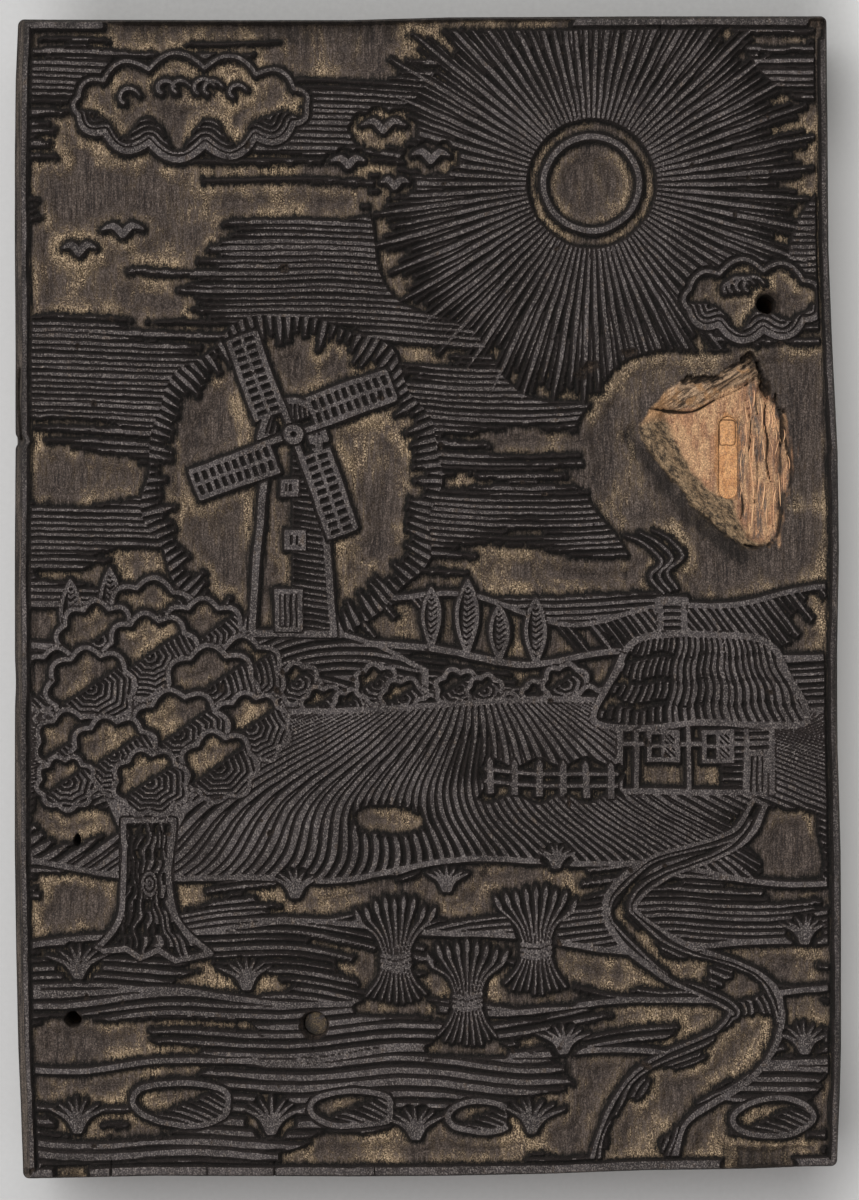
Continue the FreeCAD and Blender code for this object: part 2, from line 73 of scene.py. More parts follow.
nominalX = np.linspace(-plank["halfWidth"], plank["halfWidth"], plank["columns"])
nominalY = np.linspace(-plank["halfLength"], plank["halfLength"], plank["lines"])
cell = nominalX[1] - nominalX[0]
snapReach = 0.52 * cell    # points this close to an edge are moved onto it


def noise(x, y, scaleX, scaleY, seed):
    # random values on a coarse grid, joined by smooth cubic steps: from -1 to 1
    grid = randoms(seed).uniform(-1, 1, (257, 257))
    u, v = x / scaleX + 128.5, y / scaleY + 128.5
    i, j = np.floor(u).astype(int), np.floor(v).astype(int)
    fu, fv = u - i, v - j
    fu, fv = fu * fu * (3 - 2 * fu), fv * fv * (3 - 2 * fv)
    i, j = i % 256, j % 256
    low = grid[j, i] * (1 - fu) + grid[j, i + 1] * fu
    high = grid[j + 1, i] * (1 - fu) + grid[j + 1, i + 1] * fu
    return low * (1 - fv) + high * fv


def ramp(value, low, high):
    # 0 below low, 1 above high, straight between
    return np.clip((value - low) / (high - low), 0, 1)


def smooth(value, low, high):
    # 0 below low, 1 above high, an S curve between
    share = ramp(value, low, high)
    return share * share * (3 - 2 * share)


def bell(value, width):
    # 1 at nought, and falls off evenly on both sides
    return np.exp(-(value / width) ** 2)


# hand-planed edges: each is a line through a few places, with a slow wave that only cuts inward
outline = dict(
    left=[(-83.05, -57.8), (-78.5, -57.95), (-71.4, -58.2), (-64.3, -58.5), (-50, -58.8), (-35.8, -59.0),
          (6.8, -59.0), (21, -58.9), (35, -58.9), (50, -59.0), (64, -59.0), (73.7, -58.9), (79.4, -58.65),
          (83.05, -58.5)],
    right=[(-83.05, 58.4), (-78.5, 58.5), (-71.4, 58.8), (-64, 59.0), (-50, 59.0), (-36, 58.95),
           (-21.6, 58.5), (-7.4, 58.45), (6.8, 58.7), (21, 58.5), (35, 57.8), (49.5, 57.2), (63.7, 57.1),
           (83.05, 56.9)],
    foot=[(-59, -82.9), (-52, -82.8), (-39, -82.5), (-11, -82.6), (3, -82.5), (17, -82.2), (31.6, -81.7),
          (46, -81.5), (53, -81.2), (59, -81.1)],
    head=[(-59, 82.6), (-25, 82.5), (-11, 82.5), (3, 82.9), (31, 83.05), (59, 83.05)],
    seeds=dict(left=201, right=203, foot=205, head=207),
    wave=0.06,
    nicks=[(22.4, 0.45, 0.7), (-12.0, 0.12, 2.5)],  # left arris: place, depth, half length
)


def nickAt(y):
    # how far the nicks of the left arris stand in
    return sum(depth * np.exp(-np.abs((y - place) / reach) ** 2.5)
               for place, depth, reach in outline["nicks"])


def edgeLine(side, along):
    # where an edge lies at these places along it
    line = np.interp(along, *np.transpose(outline[side]))
    seed = outline["seeds"][side]
    wave = 0.6 * noise(along, along * 0, 11, 1, seed) + 0.4 * noise(along, along * 0, 3.1, 1, seed + 1)
    line = line - np.sign(line) * outline["wave"] * (0.5 + 0.5 * wave)
    return line + nickAt(along) if side == "left" else line


def pulledOut(values, along, half, low, high):
    # grid values stretched in the two outer bands, so that the last lines of the grid lie on the edges
    start = half - plank["stretchZone"]
    return (values + smooth(-values, start, half) * (edgeLine(low, along) + half)
            + smooth(values, start, half) * (edgeLine(high, along) - half))


gridX, gridY = np.meshgrid(nominalX, nominalY)
faceX = pulledOut(gridX, gridY, plank["halfWidth"], "left", "right")
faceY = pulledOut(gridY, gridX, plank["halfLength"], "foot", "head")
fromLeft, fromRight = faceX - edgeLine("left", faceY), edgeLine("right", faceY) - faceX
fromFoot, fromHead = faceY - edgeLine("foot", faceX), edgeLine("head", faceX) - faceY

# round corners: the square at each corner is drawn in to a quarter disc
radius = plank["cornerRound"]
for signX, nearX in ((-1, fromLeft), (1, fromRight)):
    for signY, nearY in ((-1, fromFoot), (1, fromHead)):
        u = np.clip((radius - nearX) / radius, 0, None)
        v = np.clip((radius - nearY) / radius, 0, None)
        span = np.hypot(u, v)
        pull = np.where((u > 0) & (v > 0), 1 - np.maximum(u, v) / np.maximum(span, 1e-9), 0)
        faceX = faceX - signX * pull * u * radius
        faceY = faceY - signY * pull * v * radius

# the hand is never quite steady: every line is drawn on slightly pushed coordinates
handX = faceX + 0.18 * noise(faceX, faceY, 7, 9, 1) + 0.06 * noise(faceX, faceY, 1.6, 1.9, 2)
handY = faceY + 0.18 * noise(faceX, faceY, 9, 7, 3) + 0.06 * noise(faceX, faceY, 1.7, 1.5, 4)
report("outline")

# The picture is a field over the face: how far a point lies inside the nearest ridge of wood that
# stands, and less than zero where the wood is cut away. Shapes in front are drawn later.
carving = dict(
    outlineWidth=0.78,  # ridges that draw a shape
    hatchWidth=0.36,  # ridges that shade it
    hatchPitch=0.90,
    gap=0.35,  # bare ring round a shape that stands in front
)
lineWide, hatchWide, hatchStep = carving["outlineWidth"], carving["hatchWidth"], carving["hatchPitch"]
ridge = np.full(faceX.shape, -9.0)
everywhere = (slice(None), slice(None))


def spot(across, up):
    # point of the picture at shares of its width and height
    return np.array([picture["left"] + across * (picture["right"] - picture["left"]),
                     picture["low"] + up * (picture["high"] - picture["low"])])


def level(up):
    return spot(0, up)[1]


def window(low, high, margin):
    # slices of the grid that hold a box
    margin = margin + 2
    c0, c1 = np.searchsorted(nominalX, [low[0] - margin, high[0] + margin])
    r0, r1 = np.searchsorted(nominalY, [low[1] - margin, high[1] + margin])
    return slice(max(r0, 0), max(r1, 1)), slice(max(c0, 0), max(c1, 1))


def stand(field, where=everywhere):
    # leaves wood standing: the larger of what stands and the new ridge
    ridge[where] = np.maximum(ridge[where], field)


def standWhere(allowed, lines, where=everywhere):
    # leaves lines standing only where they are allowed
    stand(np.where(allowed, lines, -1), where)


def clear(inside, where=everywhere, gap=None):
    # cuts away what stands inside a shape and in a bare ring round it
    gap = carving["gap"] if gap is None else gap
    ridge[where] = np.minimum(ridge[where], -(inside + gap))


def rows(u, pitch, width, seed=0, uneven=0.1):
    # parallel ridges: half a width less the distance to the nearest line of the family
    n = np.floor(u / pitch + 0.5)
    table = randoms(seed).uniform(-1, 1, (2, 4096))
    k = n.astype(int) % 4096
    shift = table[0][k] * uneven * pitch
    return width / 2 * (1 + 1.2 * uneven * table[1][k]) - np.abs(u - n * pitch - shift)


def shaded(u, pitch, width, seed, uneven=0.1):
    # parallel ridges whose width is itself a field: it thins out to nothing in the light
    return rows(u, pitch, 1, seed, uneven) - 0.5 + width / 2


def hatch(inside, margin, least, u, pitch, width, seed, uneven=0.1, where=everywhere):
    # such ridges inside a shape, where they are wide enough to be cut
    standWhere((inside > margin) & (width > least), shaded(u, pitch, width, seed, uneven), where)


def toneOf(u, pitch, seed):
    # a random value from -1 to 1 that is the same all along each line of the family
    return randoms(seed).uniform(-1, 1, 4096)[np.floor(u / pitch + 0.5).astype(int) % 4096]


def curvePoints(points, closed=False, every=0.6):
    # smooth curve through points: each span is a cubic with slopes from its neighbours
    p = np.asarray(points, float)
    if closed:
        a, b, c, d = np.roll(p, 1, 0), p, np.roll(p, -1, 0), np.roll(p, -2, 0)
    else:
        longer = np.vstack([2 * p[0] - p[1], p, 2 * p[-1] - p[-2]])
        a, b, c, d = longer[:-3], longer[1:-2], longer[2:-1], longer[3:]
    spans = []
    for k in range(len(a)):
        count = max(int(np.linalg.norm(c[k] - b[k]) / every), 2)
        t = np.linspace(0, 1, count, endpoint=False)[:, None]
        spans.append(0.5 * (2 * b[k] + (c[k] - a[k]) * t
                            + (2 * a[k] - 5 * b[k] + 4 * c[k] - d[k]) * t ** 2
                            + (3 * b[k] - a[k] - 3 * c[k] + d[k]) * t ** 3))
    curve = np.vstack(spans)
    return curve if closed else np.vstack([curve, p[-1]])


def toSpan(x, y, ax, ay, dx, dy):
    # share along a straight span at which it is nearest, and the square of the distance
    t = np.clip(((x - ax) * dx + (y - ay) * dy) / (dx * dx + dy * dy + 1e-12), 0, 1)
    return t, (x - ax - t * dx) ** 2 + (y - ay - t * dy) ** 2


def insideOf(points, margin=2.5, where=None, x=handX, y=handY):
    # distance inside a closed outline, negative outside, on the window that holds it
    p = np.asarray(points, float)
    where = window(p.min(0), p.max(0), margin) if where is None else where
    x, y = x[where], y[where]
    best = np.full(x.shape, 1e9)
    odd = np.zeros(x.shape, bool)
    for (ax, ay), (bx, by) in zip(p, np.roll(p, -1, 0)):
        dx, dy = bx - ax, by - ay
        best = np.minimum(best, toSpan(x, y, ax, ay, dx, dy)[1])
        if ay != by:
            odd ^= ((ay > y) != (by > y)) & (x < dx * (y - ay) / dy + ax)
    far = np.sqrt(best)
    return np.where(odd, far, -far), where


def cutOut(rim, gap, margin=2.5):
    # clears a closed shape; gives the distance inside it, its window and the places there
    inside, where = insideOf(rim, margin)
    clear(inside, where, gap)
    return inside, where, handX[where], handY[where]


def outlined(rim, gap, width, inward=0.0):
    # the same, with a ridge along the rim
    inside, where, x, y = cutOut(rim, gap)
    stand(width / 2 - np.abs(inside - inward), where)
    return inside, where, x, y


def box(cx, cy, halfWide, halfTall):
    # distance inside an upright rectangle
    return np.minimum(halfWide - np.abs(handX - cx), halfTall - np.abs(handY - cy))


def panel(place, halfWide, halfTall, gap, halfRidge, inward=0.05):
    # upright rectangle, cleared, with a ridge along its rim
    inside = box(*place, halfWide, halfTall)
    clear(inside, gap=gap)
    stand(halfRidge - np.abs(inside - inward))
    return inside


def stroke(points, width, ends=(1.0, 1.0), swell=0.0, curved=True):
    # ridge along a curve: its half width runs from one end share to the other, with a swell
    p = curvePoints(points) if curved else np.asarray(points, float)
    run = np.concatenate([[0], np.cumsum(np.linalg.norm(np.diff(p, axis=0), axis=1))])
    share = run / run[-1]
    half = width / 2 * (ends[0] + (ends[1] - ends[0]) * share + swell * np.sin(np.pi * share))
    where = window(p.min(0), p.max(0), 1.2)
    x, y = handX[where], handY[where]
    best = np.full(x.shape, -9.0)
    for k in range(len(p) - 1):
        t, square = toSpan(x, y, *p[k], *(p[k + 1] - p[k]))
        best = np.maximum(best, half[k] + (half[k + 1] - half[k]) * t - np.sqrt(square))
    stand(best, where)


def underCrest(crest, gap, width):
    # land below a crest line, cleared, with a ridge along it: the distance below, slope allowed for
    slope = (crest(handX + 0.2) - crest(handX - 0.2)) / 0.4
    inside = (crest(handX) - handY) / np.sqrt(1 + slope ** 2)
    clear(inside, gap=gap)
    stand(width / 2 - np.abs(inside))
    return inside


def scallops(cx, cy, rx, ry, bumps, swell=0.3, turn=0.0):
    # ellipse whose rim is a ring of outward arcs
    arcs = []
    for k in range(bumps):
        a0, a1 = 2 * np.pi * (k + turn) / bumps, 2 * np.pi * (k + 1 + turn) / bumps
        start = np.array([cx + rx * np.cos(a0), cy + ry * np.sin(a0)])
        end = np.array([cx + rx * np.cos(a1), cy + ry * np.sin(a1)])
        chord = end - start
        outward = np.array([chord[1], -chord[0]])
        t = np.linspace(0, 1, 9, endpoint=False)[:, None]
        arcs.append(start + chord * t + outward * swell * 4 * t * (1 - t))
    return np.vstack(arcs)


def aroundOf(cx, cy):
    # distance from a middle, and the angle there
    return np.hypot(handX - cx, handY - cy), np.arctan2(handY - cy, handX - cx)


def fromRay(turn, count, radius):
    # distance to the nearest of so many rays, at this many rays round from the first
    return np.abs(turn - np.floor(turn + 0.5)) * 2 * np.pi / count * radius


# sky: level ridges that thin out and stop where a slow pattern of bright streaks asks for it
sky = dict(
    low=0.455,  # share of the height at which sky and land meet
    open=(-0.30, 0.10),  # below the first value the sky is cleared, above the second fully lined
    pitchShare=0.98,
    bare=((0.712, 0.692), (0.786, 0.710), (0.886, 0.712), (1.0, 0.703), (1.0, 0.480), (0.923, 0.470),
          (0.836, 0.480), (0.761, 0.521), (0.712, 0.565), (0.681, 0.627)),  # round the hollow
)


def drawSky():
    u = handY + 0.9 * np.sin(handX / 21 + 0.6) + 0.35 * np.sin(handX / 7.5)
    pitch = hatchStep * sky["pitchShare"]
    bright = (noise(handX, handY, 30, 6.5, 21) + 0.35 * noise(handX, handY, 9, 3.0, 22)
              + 0.30 * toneOf(u, pitch, 23))
    low, high = sky["open"]
    width = hatchWide * (0.1 + 1.1 * ramp(bright, low, high))
    field = np.where(bright < low, -1, shaded(u, pitch, width, seed=5))
    stand(np.minimum(field, handY - level(sky["low"])))


def drawOpenSky():
    # plain cleared sky round the broken-out hollow
    rim = curvePoints([spot(*share) for share in sky["bare"]], closed=True, every=1.5)
    inside, where = insideOf(rim, margin=4)
    clear(inside + 0.5 * np.sin(handY[where] / 1.7) + 0.4 * np.sin(handX[where] / 2.3), where, gap=0)


sun = dict(place=(0.70, 0.858), ring=7.1, bare=9.0, rays=90, reach=(26, 31), reachSpread=3.5,
           secondFrom=17.5, secondSpread=5, taper=9)


def drawSun():
    # ring with two sets of wedge rays; the outer set starts where the first has spread
    r, a = aroundOf(*spot(*sun["place"]))
    count = sun["rays"]
    turn = (a / (2 * np.pi) * count) % count
    table = randoms(3).uniform(0, 1, 2 * count + 2)
    index = np.floor(turn + 0.5).astype(int) % count
    reach = np.where(index % 2 == 0, *sun["reach"]) + sun["reachSpread"] * table[index]
    clear(30.5 + 1.5 * np.sin(a * 9) + 2.5 * np.sin(a * 4 + 1) - r)
    half = 0.15 + 0.0055 * r + 0.05 * noise(handX, handY, 4, 4, 17)
    half = half * ramp(reach - r, 0, sun["taper"]) ** 0.7
    standWhere(r < reach, np.minimum(half - fromRay(turn, count, r), r - sun["bare"] - 0.3))
    between = np.abs((turn + 0.5) - np.floor(turn + 1.0)) * 2 * np.pi / count * r
    start = sun["secondFrom"] + sun["secondSpread"] * table[count + np.floor(turn + 1.0).astype(int) % count]
    half = 0.20 * ramp(r - start, 0, 4) * ramp(reach - 2 - r, 0, 8)
    standWhere((r > start) & (r < reach - 2), half - between)
    clear(sun["bare"] - r, gap=0)
    stand(lineWide / 2 - np.abs(r - sun["ring"] + lineWide / 2))


# place in shares of the picture, half length, half height, bumps, seed
clouds = [(0.20, 0.925, 16.5, 5.5, 13, 61), (0.90, 0.757, 9.5, 4.2, 9, 62)]


def drawCloud(cx, cy, rx, ry, bumps, seed):
    # cleared cloud with an outline, curled strokes inside and shading along its foot
    inside, where, x, y = cutOut(scallops(cx, cy, rx, ry, bumps), 0.9)
    foot = ramp(cy - y, -0.2 * ry, 0.8 * ry)
    stand(lineWide * (0.30 + 0.22 * foot) - np.abs(inside), where)
    width = hatchWide * foot * ramp(3.2 + 1.4 * np.sin(x * 0.7 + seed) - inside, 0, 2.0)
    hatch(inside, 0.2, 0.12, inside, 0.8, width, seed, where=where)
    draw = randoms(seed)
    for k in range(int(rx / 2.2)):
        a = draw.uniform(0.15, 0.85) * np.pi
        px, py = cx + rx * 0.62 * np.cos(a), cy + ry * 0.5 * np.sin(a) - 0.4
        size = draw.uniform(1.2, 2.2)
        t = np.linspace(0.1, 1.25, 7) * np.pi
        curl = np.c_[px + size * np.cos(t) * (1 - 0.18 * t), py + size * np.sin(t) * (1 - 0.18 * t)]
        stroke(curl, 0.40, ends=(0.35, 0.8), swell=0.5)


# far birds: place and half span
birds = [(0.44, 0.905, 3.2), (0.50, 0.880, 2.6), (0.395, 0.875, 2.3), (0.455, 0.857, 2.0),
         (0.06, 0.80, 2.4), (0.115, 0.815, 2.9)]


def drawBird(cx, cy, size):
    # two bowed wings
    cutOut(scallops(cx, cy, size * 1.6, size * 0.85, 9), 0)
    for way in (-1, 1):
        stroke([(cx, cy - 0.3), (cx + way * size * 0.45, cy + size * 0.34),
                (cx + way * size, cy + size * 0.16)], 0.85, ends=(1.1, 0.25), swell=0.35)


mill = dict(
    hub=(0.327, 0.640), glow=(21.0, 23.5), glowDrop=6.5, streaks=110,
    tall=28.5, topHalf=3.6, footHalf=6.0,
    openings=[(-0.6, 3.4, 1.7, 5.6), (0.3, 13.5, 1.2, 2.4), (-0.4, 21.0, 1.0, 2.0)],  # door, windows
    sailTurn=20, sailLong=15.5, sailStart=3.6, sailWide=4.0, hubRadius=1.35,
)


def drawMill():
    # windmill in a cleared glow: boarded tower, domed cap and four lattice sails
    hx, hy = spot(*mill["hub"])
    gy, (rx, ry) = hy - mill["glowDrop"], mill["glow"]
    r = np.hypot((handX - hx) / rx, (handY - gy) / ry)
    radius, a = aroundOf(hx, gy)
    wave = 1 + 0.025 * np.sin(a * 8) + 0.02 * np.sin(a * 13 + 2)
    clear((wave - r) * rx, gap=0)
    # soft streaks that lead out of the glow
    count = mill["streaks"]
    turn = (a / (2 * np.pi) * count)
    table = randoms(12).uniform(0, 1, count)
    start = 0.80 + 0.12 * table[np.floor(turn + 0.5).astype(int) % count]
    half = 0.27 * ramp(r - start, 0, 0.10)
    standWhere((r > start) & (r < wave), half - fromRay(turn, count, radius))
    # hill under the mill
    foot = hy - mill["tall"]
    hill = curvePoints([(hx - 19, foot - 5.5), (hx - 10, foot - 1.2), (hx, foot + 0.8),
                        (hx + 10, foot - 0.8), (hx + 19, foot - 5)])
    hill = np.vstack([hill, [(hx + 19, foot - 12), (hx - 19, foot - 12)]])
    inside, where, x, y = outlined(hill, 0.2, lineWide * 0.8)
    standWhere(inside > 0.3, rows(inside * 0.9 + 0.25 * (x - hx), 1.0, hatchWide * 0.95, seed=41), where)
    # tower, boarded darker on its right
    top, low = mill["topHalf"], mill["footHalf"]
    tower = [(hx - top, hy - 0.4), (hx + top, hy - 0.4), (hx + low, foot), (hx - low, foot)]
    inside, where, x, y = outlined(tower, 0.7, 0.95, 0.1)
    slope = (x - hx) / (top + (low - top) * (hy - y) / mill["tall"])
    shade = hatchWide * ramp(slope, -0.30, 0.75)
    hatch(inside, 0.2, 0.1, y + 0.12 * (x - hx), 0.93, shade, 43, 0.06, where)
    for wx, wy, wide, tall in mill["openings"]:
        inside = panel((hx + wx, foot + wy), wide, tall / 2, 0.5, 0.34, 0.1)
        standWhere(inside > 0.5, rows(handX, 0.8, 0.42, seed=47))
    cap = curvePoints([(hx - 4.6, hy - 0.6), (hx - 3.2, hy + 3.2), (hx, hy + 4.9), (hx + 3.2, hy + 3.2),
                       (hx + 4.6, hy - 0.6)])
    inside, where, x, y = outlined(cap, 0.5, 0.9, 0.05)
    bent = x - hx + 0.10 * (y - hy) * (x - hx)
    standWhere(inside > 0.2, rows(bent, 0.85, hatchWide * (0.5 + 0.5 * ramp(x - hx, -2, 3)), seed=44), where)
    for k in range(4):
        drawSail(hx, hy, np.radians(mill["sailTurn"] + 90 * k), 50 + k)
    hub = np.hypot(handX - hx, handY - hy)
    clear(mill["hubRadius"] + 0.35 - hub, gap=0)
    stand(mill["hubRadius"] - hub)
    clear(mill["hubRadius"] / 3 - hub, gap=0)


def drawSail(hx, hy, angle, seed):
    # stock, outer rail and middle rail along the sail, with rungs across
    along = (handX - hx) * np.cos(angle) + (handY - hy) * np.sin(angle)
    side = -(handX - hx) * np.sin(angle) + (handY - hy) * np.cos(angle)
    long, first, wide = mill["sailLong"], mill["sailStart"], mill["sailWide"]
    neck = (along < first) * np.minimum(0, 0.9 - np.abs(side)) * 3
    sides = np.minimum(side + 0.5, wide + 0.5 - side) + neck
    clear(np.minimum(np.minimum(along, long + 0.4 - along), sides), gap=0.35)
    beyond = long + 0.1 - along
    stand(np.minimum(0.37 - np.abs(side), np.minimum(along + 1, beyond)))
    stand(np.minimum(0.33 - np.abs(side - wide), np.minimum(along - first + 0.2, beyond)))
    within = np.minimum(np.minimum(side, wide + 0.1 - side),
                        np.minimum(along - first + 0.3, long + 0.4 - along))
    stand(np.minimum(rows(along - first - 0.1, 1.18, 0.44, seed, 0.03), within))
    stand(np.minimum(0.22 - np.abs(side - wide / 2), np.minimum(along - first, long - along)))


# crests that hide what lies behind them; the poplars are place across, height and half width
hills = dict(
    far=0.492, near=0.452,
    poplars=((0.05, 9, 1.5), (0.10, 11, 1.6), (0.145, 8, 1.4), (0.50, 8, 1.3), (0.545, 10, 1.5),
             (0.585, 7.5, 1.3), (0.63, 9, 1.4)),
)


def farCrest(x):
    return level(hills["far"]) + 1.9 * np.sin(x / 9.5 + 2.2) + 0.9 * np.sin(x / 4.1)


def nearCrest(x):
    # swells under the mill and dips beside it
    swell = 2.6 * bell(x - spot(mill["hub"][0], 0)[0], 13)
    return level(hills["near"]) + swell + 1.0 * np.sin(x / 12 + 0.5) - 3.0 * bell(x - 14, 9)


def drawHills():
    inside = underCrest(farCrest, 0.25, 0.7)
    u = handX * 0.8 + handY * 0.62
    bright = np.cos(handX / 9.5 + 2.2) + 0.4 * toneOf(u, 0.95, 74) - 0.12 * inside
    shade = hatchWide * ramp(bright, -0.75, 0.5)
    standWhere((inside > 0) & (inside < 7) & (shade > 0.1), shaded(u, 0.95, shade, 71))
    for k, (across, tall, wide) in enumerate(hills["poplars"]):
        px = spot(across, 0)[0]
        drawPoplar(px, nearCrest(px) - 0.5, tall, wide, 80 + k)
    inside = underCrest(nearCrest, 0.3, 0.85)
    u = inside + 0.03 * handX
    shade = hatchWide * ramp(noise(handX, handY, 17, 8, 72) + 0.30 * toneOf(u, 0.98, 75), -0.35, 0.15)
    hatch(inside, 0.2, 0.12, u, 0.98, shade, 73)


def drawPoplar(px, foot, tall, wide, seed):
    # slim tree: a spindle with slanting strokes on its dark side
    t = np.linspace(0, 1, 9)
    side = wide * np.sin(np.pi * np.clip(t, 0.04, 1)) ** 0.8
    rim = np.r_[np.c_[px - side, foot + 1.0 + tall * t], np.c_[px + side, foot + 1.0 + tall * t][::-1]]
    inside, where, x, y = outlined(rim, 0.3, 0.5, 0.05)
    lines = rows(y - 0.8 * np.abs(x - px), 0.8, 0.42, seed=seed)
    standWhere((inside > 0.1) & (x > px - 0.35 * wide), lines, where)
    stroke([(px, foot - 0.5), (px, foot + 1.3)], 0.6, curved=False)


hedge = dict(ends=(0.30, 0.70), up=0.412, bushes=13, size=(1.9, 3.1), seed=91)


def drawHedge():
    # row of round bushes along the far edge of the ploughed field
    draw = randoms(hedge["seed"])
    for k, across in enumerate(np.linspace(*hedge["ends"], hedge["bushes"])):
        px, py = spot(across, hedge["up"] + 0.012 * np.sin(k * 1.9))
        size = draw.uniform(*hedge["size"])
        drawLeaves(px, py, size, size * 0.8, 7, 0.45, 92 + k)


def drawLeaves(cx, cy, rx, ry, bumps, bright, seed, light=(-0.62, 0.78)):
    # bunch of leaves: scalloped rim, cleared highlight, curved strokes on the dark side
    rim = scallops(cx, cy, rx, ry, bumps, swell=0.34, turn=seed * 0.37)
    inside, where, x, y = outlined(rim, 0.4, 0.62)
    side = ((x - cx) * light[0] / rx + (y - cy) * light[1] / ry)
    r = np.hypot((x - cx) / rx, (y - cy) / ry) * (rx + ry) / 2
    r = r * (1 + 0.10 * np.abs(np.sin(np.arctan2(y - cy, x - cx) * bumps / 2 + seed)))
    width = hatchWide * 1.05 * ramp(-side, -bright, 0.35)
    hatch(inside, 0.1, 0.13, r, 0.86, width, seed, 0.08, where)


field = dict(farPoint=(0.560, 0.455), up=0.405, pitch=0.105)


def fieldCrest(x):
    return level(field["up"]) + 0.8 * np.sin(x / 11)


def drawField():
    # ploughed field: furrows fan out from a far point, twice as many where they have spread
    fx, fy = spot(*field["farPoint"])
    inside = underCrest(fieldCrest, 0.3, 0.8)
    dx, dy = handX - fx, np.minimum(handY - fy, -0.5)
    fan = dx / -dy
    fan = fan + 0.10 * np.sin(-dy / 7) + 0.05 * np.sin(-dy / 3.1 + 1)
    dist = -dy / np.sqrt(1 + fan ** 2)
    pitch = field["pitch"]
    spread = pitch * dist
    n = np.floor(fan / pitch + 0.5)
    half = np.minimum(0.30, spread * 0.28) * ramp(np.sin(n * 2.1) * 5 + 12 + (-dy) * 0.3, 3, 9)
    first = half - np.abs(fan - n * pitch) * dist
    half = 0.24 * ramp(spread, 1.25, 1.9)
    between = np.abs(fan - (np.floor(fan / pitch) + 0.5) * pitch) * dist
    second = np.where(half > 0.04, half - between, -1)
    keep = ramp(noise(handX, handY, 15, 9, 95) + 0.35 * noise(handX, handY, 5, 5, 96), -0.52, -0.30)
    standWhere((inside > 0.1) & (keep > 0), np.maximum(first, second) - (1 - keep) * 0.25)


# lower land: for each crest its height, swell, phase, slant and pitch of the lines, and seed
meadow = [(0.262, 1.5, 0.4, 0.25, 0.95, 101), (0.205, 1.8, 2.6, -0.18, 1.0, 102),
          (0.150, 1.4, 4.4, 0.12, 0.95, 103), (0.098, 1.2, 1.1, -0.05, 0.9, 104)]


def drawMeadow():
    # crests that step down to the foot, shaded along their length, open round the peg
    fromPeg = np.hypot(handX - pegLow[0] - 1.7, handY - pegLow[1] - 1.7)
    for k, (base, swell, phase, slant, pitch, seed) in enumerate(meadow):
        def crest(x):
            return level(base) + swell * np.sin(x / (13 + 3 * k) + phase) + 0.5 * np.sin(x / 5 + phase * 2)

        inside = underCrest(crest, 0.3, 0.75)
        u = inside * (1 - 0.15 * k) + slant * handX * 0.5
        bright = (noise(handX, handY, 19, 6.5, seed) + 0.25 * noise(handX, handY, 6, 3, seed + 20)
                  + 0.32 * toneOf(u, pitch, seed + 60) + 1.4 * bell(fromPeg, 5.5))
        width = hatchWide * 1.1 * ramp(bright, -0.30, 0.2)
        hatch(inside, 0.2, 0.12, u, pitch, width, seed + 40)


cottage = dict(
    chimney=(0.800, 0.475), wall=((0.735, 0.330), (0.735, 0.402), (0.925, 0.402), (0.925, 0.330)),
    posts=(0.755, 0.820, 0.893), beam=0.372, windows=(0.788, 0.857), windowUp=0.370, door=(0.905, 0.346),
    roof=((0.702, 0.392), (0.728, 0.432), (0.757, 0.462), (0.84, 0.467), (0.918, 0.460), (0.945, 0.430),
          (0.968, 0.392), (0.92, 0.387), (0.84, 0.391), (0.76, 0.386)),
    thatchFrom=(0.838, 0.60), course=3.4, smoke=(0.800, 0.502),
)


